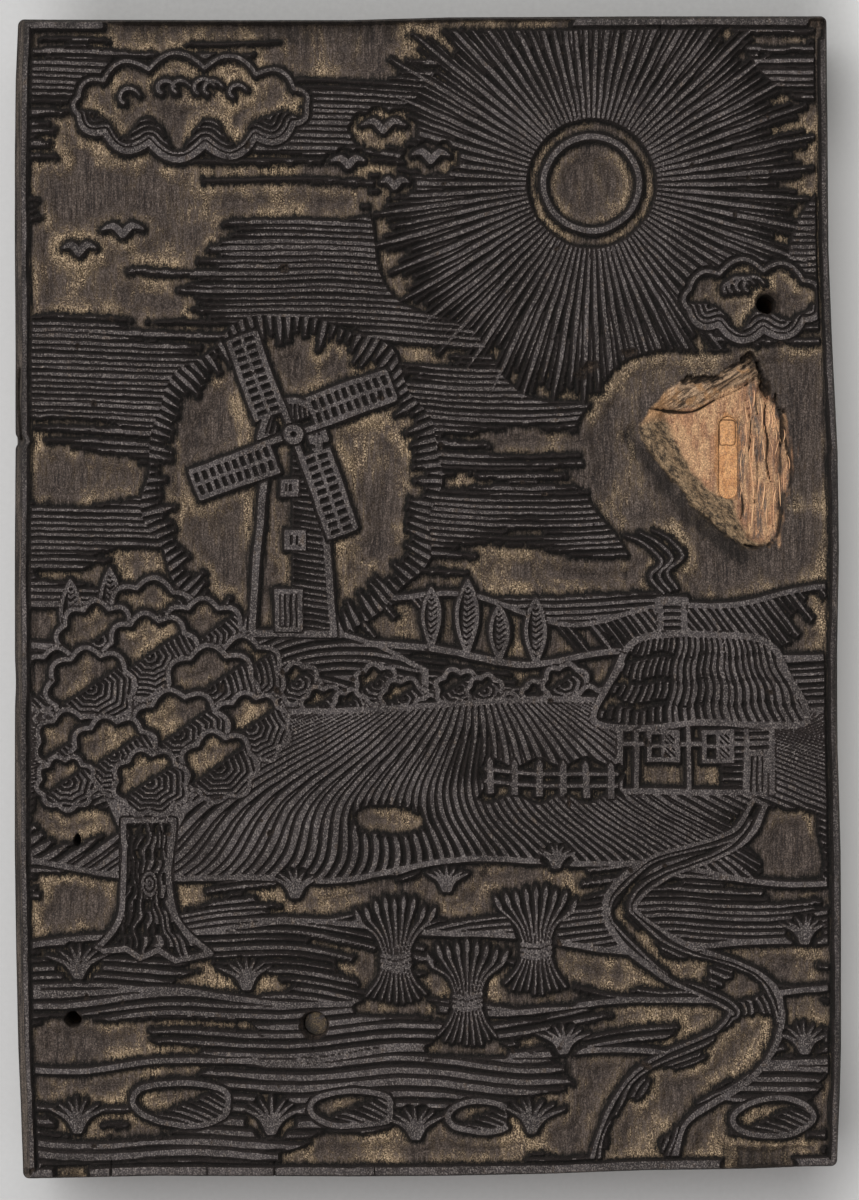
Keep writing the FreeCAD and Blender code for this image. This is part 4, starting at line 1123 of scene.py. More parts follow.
holes = dict(
    upper=(48.304, 41.906, 1.4),  # nail holes, right through: middle and radius
    lower=(-50.607, -60.102, 1.2),
    peg=((pegLow[0] + pegHigh[0]) / 2, (pegLow[1] + pegHigh[1]) / 2, 1.7),
    beetle=(-49.98, -34.52, 0.55, 0.95, 17.4),  # middle, half sizes, bottom
    # chipped rims: the side they are widest on, their reach and depth
    rims=dict(upper=(40, 1.3, 0.9), lower=(10, 0.5, 0.45), peg=(205, 0.9, 1.3)),
)
sunk = np.zeros(faceX.shape, bool)
gone = np.zeros(faceX.shape, bool)


def chipRim(cx, cy, holeRadius, towards, reach, deep):
    # funnel of chipped wood round a hole, widest on one side, with painted shade where it drops deep
    where, dx, dy = windowRound(cx, cy, 3, 3, 1)
    away = np.hypot(dx, dy)
    side = 0.5 + 0.5 * np.cos(np.arctan2(dy, dx) - np.radians(towards))
    wide = reach * (0.25 + 0.75 * side ** 2) * (1 + 0.4 * noise(dx, dy, 0.6, 0.6, 321))
    drop = deep * (1 - smooth(away - holeRadius, 0, wide))
    height[where] = height[where] - drop
    chipped[where] = np.maximum(chipped[where], 0.8 * smooth(drop, 0.05, 0.4))
    grimeAndPaintedShade[where] = np.maximum(grimeAndPaintedShade[where], smooth(drop, 0.3, 0.9))


def drill(cx, cy, rx, ry, bottom, through):
    # points near the rim are moved onto it; those inside it go down to the bottom
    where, dx, dy = windowRound(cx, cy, rx, ry, 1)
    span = np.hypot(dx / rx, dy / ry)
    onRim = np.abs(span - 1) < snapReach / min(rx, ry)
    faceX[where] = np.where(onRim, cx + dx / span, faceX[where])
    faceY[where] = np.where(onRim, cy + dy / span, faceY[where])
    inner = (span < 1) & ~onRim
    height[where] = np.where(inner, bottom, height[where])
    sunk[where] |= inner
    if through:
        gone[where] |= inner


for name, values in holes["rims"].items():
    chipRim(*holes[name], *values)
for name in holes["rims"]:
    cx, cy, holeRadius = holes[name]
    drill(cx, cy, holeRadius, holeRadius, plank["tileFloor"], True)
drill(*holes["beetle"], False)

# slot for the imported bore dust: a bar with round ends
where, dx, dy = windowRound(slotX, slotY, 2, 7, 1)
beyond = np.sign(dy) * np.clip(np.abs(dy) - slotReach, 0, None)
span = np.hypot(dx, beyond)
onRim = np.abs(span - slotHalf) < snapReach
pull = np.where(onRim, slotHalf / np.maximum(span, 1e-6), 1)
faceX[where], faceY[where] = slotX + dx * pull, slotY + (dy - beyond) + beyond * pull
inner = (span < slotHalf) & ~onRim
lifted = np.where(onRim, np.maximum(height[where], fillHigh[2] - 0.02), height[where])
height[where] = np.where(inner, fillLow[2] - 0.03, lifted)
sunk[where] |= inner
report("hollow and holes")

# values on the surface, for the materials
# painted shade: darker where the surface lies below the mean of its surroundings
shadeAndGrime = np.clip((blur(height, 5) - height) / 0.8, 0, 1)
shadeAndGrime = np.maximum(shadeAndGrime, 0.6 * np.clip((blur(height, 14) - height) / 1.6, 0, 1))
inkLeft = (1 - chipped) * (shoulder <= 0)
surface = dict(
    cleared=far / knife["reach"],
    # drilled points are painted fully dark as shade; elsewhere painted shade together with the grime
    shadeAndGrime=np.where(sunk, 1.0, np.maximum(shadeAndGrime, grimeAndPaintedShade)),
    raw=raw, olive=olive, facet=facetShare, streaked=streaked, dusty=dusty,
    chipped=chipped, shoulder=shoulder,
)
# the lower end of the slot is packed full, so its rim stays pale; above it the slot is painted dark as shade
surface["shadeAndGrime"][where] = np.where(inner, smooth(faceY[where] - slotY, 0.2, 1.6), surface["shadeAndGrime"][where])
standing = (ridge >= 0) & ~sunk & (raw < 0.5) & (chipped < 0.5)


def meshFrom(name, points, faces, normals=None, values=None, onFaces=None):
    # faces is a list of arrays of equal-sided faces, or of single faces; normals are one for each corner;
    # values belong to the points, and onFaces to the first faces, with none for the others
    corners, sizes = [], []
    for group in faces:
        group = np.atleast_2d(np.asarray(group))
        corners.append(group.ravel())
        sizes.append(np.full(len(group), group.shape[1]))
    corners, sizes = np.concatenate(corners), np.concatenate(sizes)
    mesh = bpy.data.meshes.new(name)
    mesh.vertices.add(len(points))
    mesh.vertices.foreach_set("co", (np.asarray(points) * mm).astype(np.float32).ravel())
    mesh.loops.add(len(corners))
    mesh.loops.foreach_set("vertex_index", corners.astype(np.int32))
    mesh.polygons.add(len(sizes))
    mesh.polygons.foreach_set("loop_start", np.concatenate([[0], np.cumsum(sizes)[:-1]]).astype(np.int32))
    mesh.update(calc_edges=True)
    for key, value in (values or {}).items():
        mesh.attributes.new(key, "FLOAT", "POINT").data.foreach_set("value", np.asarray(value, np.float32))
    for key, value in (onFaces or {}).items():
        value = np.pad(np.asarray(value, np.float32), (0, len(sizes) - len(value)))
        mesh.attributes.new(key, "FLOAT", "FACE").data.foreach_set("value", value)
    if normals is not None:
        kept = mesh.attributes.new("custom_normal", "FLOAT_VECTOR", "CORNER")
        kept.data.foreach_set("vector", np.asarray(normals, np.float32).ravel())
        edge = mesh.attributes.new("sharp_edge", "BOOLEAN", "EDGE")
        edge.data.foreach_set("value", edgesWithTwoNormals(mesh, normals, sizes))
    piece = bpy.data.objects.new(name, mesh)
    scene.collection.objects.link(piece)
    return piece


def edgesWithTwoNormals(mesh, normals, sizes):
    # true where the two faces of an edge ask for different normals at its ends
    count = len(normals)
    edgeOf = np.empty(count, np.int32)
    mesh.loops.foreach_get("edge_index", edgeOf)
    following = np.arange(count) + 1
    lastOnes = np.cumsum(sizes) - 1
    following[lastOnes] = lastOnes - sizes + 1
    pairs = np.argsort(edgeOf, kind="stable").reshape(-1, 2)
    first, second = pairs[:, 0], pairs[:, 1]
    gap = (np.abs(normals[first] - normals[following[second]]).max(1)
           + np.abs(normals[following[first]] - normals[second]).max(1))
    return gap > 0.12


def unit(vectors):
    return vectors / np.maximum(np.linalg.norm(vectors, axis=-1, keepdims=True), 1e-12)


def gridNormals(x, y, z):
    # crosswise product of the two directions along the grid
    points = np.stack([x, y, z], -1)
    return unit(np.cross(np.gradient(points, axis=1), np.gradient(points, axis=0)))


def flatNormals(points, faces):
    a, b, c = points[faces[:, 0]], points[faces[:, 1]], points[faces[:, 2]]
    return unit(np.cross(b - a, c - b))


def cornersOf(grid):
    # values at the four corners of every square of a grid, anticlockwise
    return grid[:-1, :-1], grid[:-1, 1:], grid[1:, 1:], grid[1:, :-1]


def openings(lost):
    # squares with all their corners lost, points that other squares still need, and their numbers
    removed = np.logical_and.reduce(cornersOf(lost))
    kept = np.zeros(lost.shape, bool)
    for corner in cornersOf(kept):
        corner |= ~removed
    grid = np.full(lost.shape, -1)
    grid[kept] = np.arange(kept.sum())
    return removed, kept, grid


def wallsBetween(rings):
    # squares between loops of points, each joined to the next
    return np.vstack([np.c_[up, down, np.roll(down, -1), np.roll(up, -1)]
                      for up, down in zip(rings[:-1], rings[1:])])


def insetBy(points, inset):
    # points of the outline drawn in towards the middle
    return np.stack([points[..., 0] * (1 - inset / plank["halfWidth"]),
                     points[..., 1] * (1 - inset / plank["halfLength"])], -1)


def skirtRings(outer, count):
    # the outline and two copies of it that follow the first points
    return [outer, count + np.arange(len(outer)), count + len(outer) + np.arange(len(outer))]


def closingNormals(points, walls, caps, up):
    # flat ones for walls, and straight up or down for caps
    flat = [np.repeat(flatNormals(points, wall), 4, 0) for wall in walls]
    return flat + [np.tile([0.0, 0.0, up], (sum(len(face) for face in caps), 1))]


def loopRound(grid):
    # outer loop of a grid, anticlockwise from its first corner
    return np.concatenate([grid[0, :-1], grid[:-1, -1], grid[-1, :0:-1], grid[:0:-1, 0]])


def holeLoops(grid, removed):
    # rims of the removed squares, each in order and anticlockwise
    lost = np.pad(removed, 1)
    steps = {}
    rowsLost, columnsLost = np.nonzero(removed)
    for i, j in zip(rowsLost, columnsLost):
        corner = [grid[i, j], grid[i, j + 1], grid[i + 1, j + 1], grid[i + 1, j]]
        beside = [lost[i, j + 1], lost[i + 1, j + 2], lost[i + 2, j + 1], lost[i + 1, j]]
        for k in range(4):
            if not beside[k]:
                steps[corner[k]] = corner[(k + 1) % 4]
    loops = []
    while steps:
        start, following = steps.popitem()
        loop = [start]
        while following != start:
            loop.append(following)
            following = steps.pop(following)
        loops.append(loop)
    return loops


def capFaces(outer, inner, points):
    # flat cap facing up, as two faces above and below a line through its holes, or one without holes
    outer = list(outer)
    if not inner:
        return [outer]
    inner = sorted(inner, key=lambda loop: points[loop][:, 0].mean())

    def turned(loop, first):
        first = loop.index(first)
        return loop[first:] + loop[:first]

    def sideVertex(loop, y, way):
        x = way * points[loop][:, 0]
        edge = x > x.max() - 1.0
        return loop[int(np.argmin(np.where(edge, np.abs(points[loop][:, 1] - y), 1e9)))]

    start = sideVertex(outer, points[inner[0]][:, 1].mean(), -1)
    end = sideVertex(outer, points[inner[-1]][:, 1].mean(), 1)
    outer = turned(outer, start)
    split = outer.index(end)
    low, high = outer[:split + 1], outer[split:] + [start]
    above, below = [], []
    for loop in inner:
        x = points[loop][:, 0]
        leftmost, rightmost = loop[int(np.argmin(x))], loop[int(np.argmax(x))]
        loop = turned(loop, leftmost)
        split = loop.index(rightmost)
        below += loop[:split + 1]
        above += (loop[split:] + [leftmost])[::-1]
    return [low + below[::-1], high + above]


def tile(name, rowsFrom, rowsTo, columnsFrom, columnsTo):
    # one slab of the face: the carved top, hidden skirts round it and a flat under side
    part = (slice(rowsFrom, rowsTo + 1), slice(columnsFrom, columnsTo + 1))
    x, y, z = faceX[part], faceY[part], height[part]
    removed, kept, grid = openings(gone[part])
    # each square is parted along the diagonal whose ends lie closer in height
    a, b, c, d = cornersOf(grid)
    heightA, heightB, heightC, heightD = cornersOf(z)
    rising = (np.abs(heightA - heightC) <= np.abs(heightB - heightD))[..., None]
    first = np.where(rising, np.stack([a, b, c], -1), np.stack([a, b, d], -1))[~removed]
    second = np.where(rising, np.stack([a, c, d], -1), np.stack([b, c, d], -1))[~removed]
    triangles = np.vstack([first, second])
    points = np.stack([x, y, z], -1)[kept]
    count = len(points)
    bend, level = faceBend[part][kept], topBend[part][kept]
    flat = flatNormals(points, triangles)
    touch = standing[part][kept][triangles]
    corners = np.where(touch.all(1)[:, None, None], level[triangles],
                       np.where(touch.any(1)[:, None, None], flat[:, None], bend[triangles]))
    # skirts: those on the outline of the plank stand in below the arris
    outer = loopRound(grid)
    rim = points[outer]
    edge = np.zeros(x.shape, bool)
    edge[0], edge[-1] = rowsFrom == 0, rowsTo == faceX.shape[0] - 1
    edge[:, 0] |= columnsFrom == 0
    edge[:, -1] |= columnsTo == faceX.shape[1] - 1
    inset = plank["skirt"] * edge[kept][outer]
    drawn = insetBy(rim, inset)
    belowArris, halfway = rim[:, 2] - plank["skirt"], (rim[:, 2] + plank["tileFloor"]) / 2
    second = np.c_[drawn, np.where(inset > 0, belowArris, halfway)]
    third = np.c_[drawn, np.full(len(rim), plank["tileFloor"])]
    points = np.vstack([points, second, third])
    rings = skirtRings(outer, count)
    skirts = wallsBetween(rings)
    caps = [face[::-1] for face in capFaces(rings[2], holeLoops(grid, removed), points)]
    normals = np.concatenate([corners.reshape(-1, 3)] + closingNormals(points, [skirts], caps, -1.0))
    values = {}
    for key, value in surface.items():
        onTop = value[part][kept]
        values[key] = np.concatenate([onTop, onTop[outer], onTop[outer]])
    inked = touch.all(1) * inkLeft[part][kept][triangles].mean(1)
    return meshFrom(name, points, [triangles, skirts] + caps, normals, values, dict(inked=inked))


faceBend = gridNormals(faceX, faceY, height)
topBend = gridNormals(faceX, faceY, blur(np.where(standing, height, plank["top"] - 0.08), 1))
seamsAcross = [0, 346, 693]
seamsAlong = [0, 245, 486, 705, 978]
tiles = [tile(f"carved_face_{k}{j}", *seamsAlong[k:k + 2], *seamsAcross[j:j + 2])
         for k in range(4) for j in range(2)]
report("face tiles")

# sides: rings of the outline from the arris down, drawn in by the rounded foot and the marks of plane and saw
hull = dict(levels=24, footRound=0.55, marks=0.05, backMarks=0.09, backSplits=0.03, backHoleRim=0.12)
arris = np.stack([loopRound(array) for array in (faceX, faceY, height)], -1)
along = np.concatenate([[0], np.cumsum(np.linalg.norm(np.diff(arris[:, :2], axis=0), axis=1))])
ends = (np.abs(np.gradient(arris[:, 1])) < np.abs(np.gradient(arris[:, 0]))).astype(float)


share = np.linspace(0, 1, hull["levels"] + 1)[:, None]
levelZ = arris[None, :, 2] * (1 - share)
footIn = np.clip(1 - levelZ / hull["footRound"], 0, 1)
inset = hull["footRound"] * 0.9 * (1 - np.sqrt(1 - footIn ** 2 + 1e-9))
runs = np.broadcast_to(along[None, :], levelZ.shape)
planed = noise(runs, levelZ, 38, 0.8, 401) + 0.6 * noise(runs, levelZ, 12, 2.5, 402)
sawn = noise(runs + 0.3 * levelZ, levelZ, 0.7, 9, 403) + 0.7 * noise(runs, levelZ, 3, 6, 404)
marks = np.where(ends[None, :] > 0.5, sawn, planed)
inset = inset + hull["marks"] * (0.9 + 0.5 * marks) * np.sin(np.pi * np.clip(share * 1.15, 0, 1)) ** 0.5
outside = insetBy(arris[None], inset)
outside = np.concatenate([outside, levelZ[..., None]], -1)
onLeft = arris[:, 0] < -0.9 * plank["halfWidth"]
outside[..., 0] -= onLeft * nickAt(arris[:, 1]) * smooth(arris[None, :, 2] - levelZ, 0, 2.2)
skirtPoints = insetBy(arris, plank["skirt"])
inside = np.stack([np.c_[skirtPoints, np.full(len(arris), plank["skirt"])],
                   np.c_[skirtPoints, arris[:, 2] - plank["skirt"]]])
ring = np.concatenate([outside, inside])
ringGrid = np.arange(ring.shape[0] * ring.shape[1]).reshape(ring.shape[:2])
down, over = np.roll(ringGrid, -1, 0), np.roll(ringGrid, -1, 1)
ringFaces = np.stack([ringGrid, down, np.roll(down, -1, 1), over], -1).reshape(-1, 4)
ringPoints = ring.reshape(-1, 3)
around = np.roll(outside, -1, 1) - np.roll(outside, 1, 1)
ringBend = unit(np.cross(np.gradient(outside, axis=0), around))
inward = -np.broadcast_to(ringBend[:1], (2,) + ringBend.shape[1:])
ringBend = np.concatenate([ringBend, inward]).reshape(-1, 3)
flat = flatNormals(ringPoints, ringFaces)
outer = ringFaces.max(1) < outside.shape[0] * ring.shape[1]
ringNormals = np.where(outer[:, None, None], ringBend[ringFaces], flat[:, None])
plankSides = meshFrom("plank_sides", ringPoints, [ringFaces], ringNormals.reshape(-1, 3),
                      dict(endGrain=np.tile(ends, ring.shape[0])))
report("sides")

backEvery = 3  # the back's grid takes every third point of the face's
backStep = backEvery * cell
bottom = outside[-1]
backPoints = np.stack([faceX[::backEvery, ::backEvery], faceY[::backEvery, ::backEvery]], -1)
backX, backY = np.moveaxis(insetBy(backPoints, 0.9 * hull["footRound"]), -1, 0).copy()
trough = noise(backX, backY, 9, 60, 411) + 0.5 * noise(backX, backY, 2.5, 25, 412)
splits = smooth(noise(backX, backY, 0.8, 4, 413), 0.2, 1)
backZ = hull["backMarks"] * smooth(trough, -0.2, 1.2) + hull["backSplits"] * splits
edgePlaces = loopRound(np.arange(backX.size).reshape(backX.shape))
for values, axis in ((backX, 0), (backY, 1), (backZ, 2)):
    values.flat[edgePlaces] = bottom[::backEvery, axis]


def bendRound(gridX, gridY, cx, cy, holeRadius, ringsIn=3, ringsOut=9):
    # squares of grid points round a hole are bent into circles; the one ringsIn steps out lies on the rim
    down, over = np.indices(gridX.shape)
    down = down - np.abs(nominalY[::backEvery] - cy).argmin()
    over = over - np.abs(nominalX[::backEvery] - cx).argmin()
    rings = np.maximum(np.abs(down), np.abs(over))
    span = np.maximum(np.hypot(down, over), 1e-9)
    reach = holeRadius + (rings - ringsIn) * backStep
    share = np.clip((ringsOut - rings) / (ringsOut - ringsIn), 0, 1)
    gridX = gridX + share * (cx + reach * over / span - gridX)
    gridY = gridY + share * (cy + reach * down / span - gridY)
    return gridX, gridY, rings - ringsIn


inHole = np.zeros(backX.shape, bool)
for name in ("upper", "lower"):
    backX, backY, beyond = bendRound(backX, backY, *holes[name])
    backZ = np.where(beyond == 0, hull["backHoleRim"], backZ)
    inHole |= beyond <= 0
removed, kept, backGrid = openings(inHole)
a, b, c, d = cornersOf(backGrid)
backFaces = np.stack([a, d, c, b], -1)[~removed]
points = np.stack([backX, backY, backZ], -1)[kept]
count = len(points)
bend = -gridNormals(backX, backY, backZ)[kept]
outer = loopRound(backGrid)
rimPoints = points[outer]
scaled = insetBy(rimPoints, plank["skirt"] - 0.9 * hull["footRound"])
skirtLevels = [np.c_[scaled, np.full(len(outer), z)] for z in (plank["skirt"], plank["tileFloor"])]
points = np.vstack([points] + skirtLevels)
bores, boreFaces = [], []
for loop in holeLoops(backGrid, removed):
    fresh = len(points) + np.arange(len(loop))
    points = np.vstack([points, np.c_[points[loop][:, :2], np.full(len(loop), plank["tileFloor"])]])
    boreFaces.append(wallsBetween([loop, fresh]))
    bores.append(list(fresh))
# the blind hole that the peg stands in
turns = 48
turn = np.linspace(0, 2 * np.pi, turns, endpoint=False)
pegX, pegY, pegHole = holes["peg"]
mouth = len(points) + np.arange(turns)
seat = mouth + turns
circle = np.c_[pegX + pegHole * np.cos(turn), pegY + pegHole * np.sin(turn)]
boreLevels = [np.c_[circle, np.full(turns, z)] for z in (plank["tileFloor"], pegLow[2] - 0.01)]
points = np.vstack([points] + boreLevels)
boreFaces.append(wallsBetween([mouth, seat])[:, ::-1])
bores.append(list(mouth))
rings = skirtRings(outer, count)
skirts = wallsBetween(rings)[:, [0, 3, 2, 1]]
caps = capFaces(rings[2], bores, points) + [list(seat)]
boreFaces = np.vstack(boreFaces)
normals = np.concatenate([bend[backFaces].reshape(-1, 3)]
                         + closingNormals(points, [skirts, boreFaces], caps, 1.0))
plankBack = meshFrom("plank_back", points, [backFaces, skirts, boreFaces] + caps, normals,
                     dict(endGrain=np.zeros(len(points))))
report("back")

peg = dict(turns=72, rings=22, clearance=0.05, dome=0.22, cracks=5, flat=0.06, tilt=0.55)


def makePeg():
    # surface of revolution: rings from the middle of the top out, down the side and in below
    cx, cy, hole = holes["peg"]
    outside = hole - peg["clearance"]
    share = np.linspace(0.04, 1, peg["rings"])
    radii = np.concatenate([outside * share, [outside] * 3, outside * share[::-6]])
    topZ = pegHigh[2] - 0.10 - peg["dome"] * share ** 3
    lowZ = pegLow[2]
    z = np.concatenate([topZ, np.linspace(topZ[-1] - 0.4, lowZ + 0.2, 3), [lowZ] * len(share[::-6])])
    a = np.linspace(0, 2 * np.pi, peg["turns"], endpoint=False)[None, :]
    r = radii[:, None] * (1 - 0.012 * (1 + np.sin(3 * a + 1))
                          - peg["flat"] * smooth(np.cos(a - np.radians(205)), 0.3, 1))
    x, y = cx + r * np.cos(a), cy + r * np.sin(a)
    z = np.broadcast_to(z[:, None], x.shape).copy()
    onTop = np.arange(len(radii))[:, None] < peg["rings"]
    grain = noise(x, y, 0.22, 0.22, 501) + 0.5 * noise(x, y, 0.7, 0.7, 502)
    split = bell(np.sin(a * peg["cracks"] / 2 + 0.8 * noise(x, y, 1.2, 1.2, 503)), 0.10)
    z = z - onTop * (0.05 * (1 + grain) / 2 + 0.14 * split * (r / outside) ** 1.5)
    # the top tilts down to the lower left; that side, and the peg's sides and foot, are painted dark as shade
    low = smooth((r / outside) * np.cos(a - np.radians(215)), -0.25, 0.85)
    z = z - onTop * peg["tilt"] * low
    count = x.size
    grid = np.arange(count).reshape(x.shape)
    nextDown, nextTurn = grid[1:], np.roll(grid, -1, 1)
    quads = np.stack([grid[:-1], nextDown, nextTurn[1:], nextTurn[:-1]], -1).reshape(-1, 4)
    points = np.stack([x, y, z], -1).reshape(-1, 3)
    return meshFrom("wooden_peg_shaped", points, [quads, [list(grid[0])], [list(grid[-1][::-1])]], None,
                    dict(shadeAndGrime=np.where(onTop, low, 1).ravel()))


pegPiece = makePeg()
filling = dict(rows=150, columns=34, crown=0.16, cracks=[(20.4, 0.05), (18.2, 0.05), (16.4, 0.06)],
               oblong=(41.75, 44.1, 21.9, 25.5, 0.5), splitWidth=0.08, splitDepth=0.20)


def makeFilling():
    # bar with round ends: rows across it, each as wide as the bar is there; a crowned top and flat sides
    halfWide, halfLong = (fillHigh[0] - fillLow[0]) / 2, (fillHigh[1] - fillLow[1]) / 2
    v = np.sin(np.linspace(-1, 1, filling["rows"]) * np.pi / 2)[:, None] * halfLong * 0.9985
    u = np.linspace(-1, 1, filling["columns"])[None, :]
    beyond = np.clip(np.abs(v) - (halfLong - halfWide), 0, None)
    wide = np.sqrt(np.clip(halfWide ** 2 - beyond ** 2, 0.05 ** 2, None))
    x, y = slotX + u * wide, slotY + v + 0 * u
    crown = filling["crown"] * (0.2 + 0.8 * smooth(y - slotY, 0.2, 1.6))
    z = fillHigh[2] - 0.02 - crown * u ** 4 - 0.05 * (noise(x, y, 0.5, 1.4, 511) + 1) / 2
    for place, deep in filling["cracks"]:
        line = y - place - 0.12 * np.sin(u * 2.2 + place) - 0.06 * noise(x, y, 0.4, 0.4, 512)
        z = z - deep * bell(line, 0.07)
    left, right, low, high, corner = filling["oblong"]
    offX = np.clip(np.abs(x - (left + right) / 2) - (right - left) / 2 + corner, 0, None)
    offY = np.clip(np.abs(y - (low + high) / 2) - (high - low) / 2 + corner, 0, None)
    line = np.hypot(offX, offY) - corner + 0.05 * noise(x, y, 0.5, 0.5, 513)
    split = np.where(offX + offY > 0, bell(line, filling["splitWidth"]), 0)
    z = z - filling["splitDepth"] * split
    grid = np.arange(x.size).reshape(x.shape)
    quads = np.stack(cornersOf(grid), -1).reshape(-1, 4)
    points = np.stack([x, y, z], -1).reshape(-1, 3)
    outer = loopRound(grid)
    foot = np.c_[points[outer][:, :2], np.full(len(outer), fillLow[2])]
    low = len(points) + np.arange(len(outer))
    skirt = wallsBetween([outer, low])
    # painted shade in the splits
    dark = np.concatenate([split.ravel(), np.zeros(len(outer))])
    return meshFrom("packed_dust", np.vstack([points, foot]), [quads, skirt, [list(low[::-1])]], None,
                    dict(shadeAndGrime=dark))


fillingPiece = makeFilling()
splinters = dict(
    count=70, sides=6, rings=9, length=(1.2, 5.5), width=(0.07, 0.20), lift=0.10, lean=0.10, seed=61,
    area=(44.6, 52.2, 8.5, 29.5),
)


def makeSplinters():
    # slivers of raw wood: a round section drawn along a bowed line, thin at both ends, all in one array
    draw = randoms(splinters["seed"])
    count = splinters["count"]
    left, right, low, high = splinters["area"]
    x0, y0, reach, wide, lean, bow, tilt = [values[:, None] for values in (
        draw.uniform(left, right, count), draw.uniform(low, high, count),
        draw.uniform(*splinters["length"], count) / 2, draw.uniform(*splinters["width"], count) / 2,
        draw.normal(0, splinters["lean"], count), draw.uniform(-0.25, 0.25, count),
        draw.uniform(-0.10, 0.16, count))]
    t = np.linspace(-1, 1, splinters["rings"])
    a = np.linspace(0, 2 * np.pi, splinters["sides"], endpoint=False)
    cx, cy = x0 + lean * reach * t + bow * t ** 2, y0 + reach * t
    thick = wide * np.clip(1 - t ** 2, 0.03, 1) ** 0.6
    column = np.clip(np.searchsorted(nominalX, cx), 1, len(nominalX) - 2)
    row = np.clip(np.searchsorted(nominalY, cy), 1, len(nominalY) - 2)
    ground = height[row, column]
    ground = (ground + ground.mean(1, keepdims=True)) / 2
    cz = ground + splinters["lift"] * thick / thick.max() + tilt * reach * (t + 1) / 2
    keep = (rawEven[row, column].min(1) > 0.5) & (cz.max(1) < plank["top"] - 1.0)
    x = cx[..., None] + thick[..., None] * np.cos(a)
    z = cz[..., None] + 0.6 * thick[..., None] * np.sin(a)
    y = np.broadcast_to(cy[..., None], x.shape)
    points = np.stack([x, y, z], -1)[keep]
    grid = np.arange(points.size // 3).reshape(points.shape[:3])
    nextRing, nextSide = grid[:, 1:], np.roll(grid, -1, 2)
    quads = np.stack([grid[:, :-1], nextRing, nextSide[:, 1:], nextSide[:, :-1]], -1).reshape(-1, 4)
    return meshFrom("raw_splinters", points.reshape(-1, 3), [quads, grid[:, 0], grid[:, -1, ::-1]])


rawEven = raw * (olive + facetShare < 0.3)
splinterPiece = makeSplinters()
for piece in (pegPiece, fillingPiece, splinterPiece):
    piece.data.polygons.foreach_set("use_smooth", np.ones(len(piece.data.polygons), bool))
    piece.data.set_sharp_from_angle(angle=math.radians(40))
report("small pieces")

# colours as written in a paint program
inks = dict(
    tanDark="#3f332b", floorScratch="#3f332a", tanMid="#715e4e", tanLight="#d0b28d", tanBright="#e6caa5",
    # valley and crack also serve as painted shade in grooves, hollows and cracks
    floorInk="#3a3331", floorPale="#71645c", valley="#191614", inkWall="#322b29",
    inkTop="#3e3838", inkTopPale="#625b5b", inkWorn="#66574b", inkGlint="#8f8680",
    rawPale="#e4b88c", rawPeach="#cf9c75", rawDark="#a07860", rawSpot="#6b3d2c", ashen="#6e635c",
    facetPale="#cfad8c", facetDark="#5a4a3d", facetWarm="#c6986c", oliveBand="#ae9272", oliveDark="#443a30",
    chip="#54463c", shoulderWood="#72665c", shoulderInk="#3f3835", crack="#0f0c0b", speck="#b0a89c",
    side="#4a3c31", sidePale="#6d5846", sideInk="#26211f",
    back="#7b6249", backDark="#5a4633",
    pegWood="#75644c", pegDark="#3e3228", dust="#c58c5a", dustPale="#d9a26d",
    # floor: painted light on the right, painted shadows beyond head and foot
    groundLeft="#b6b6b6", groundRightLightened="#d8d8d7", groundHeadShadow="#929291", groundFootShadow="#b0afaf",
    groundDust="#ffffff",
)


def linear(ink):
    # an ink as Blender's linear values
    parts = [int(inks[ink][k:k + 2], 16) / 255 for k in (1, 3, 5)]
    return tuple([p / 12.92 if p <= 0.04045 else ((p + 0.055) / 1.055) ** 2.4 for p in parts] + [1.0])


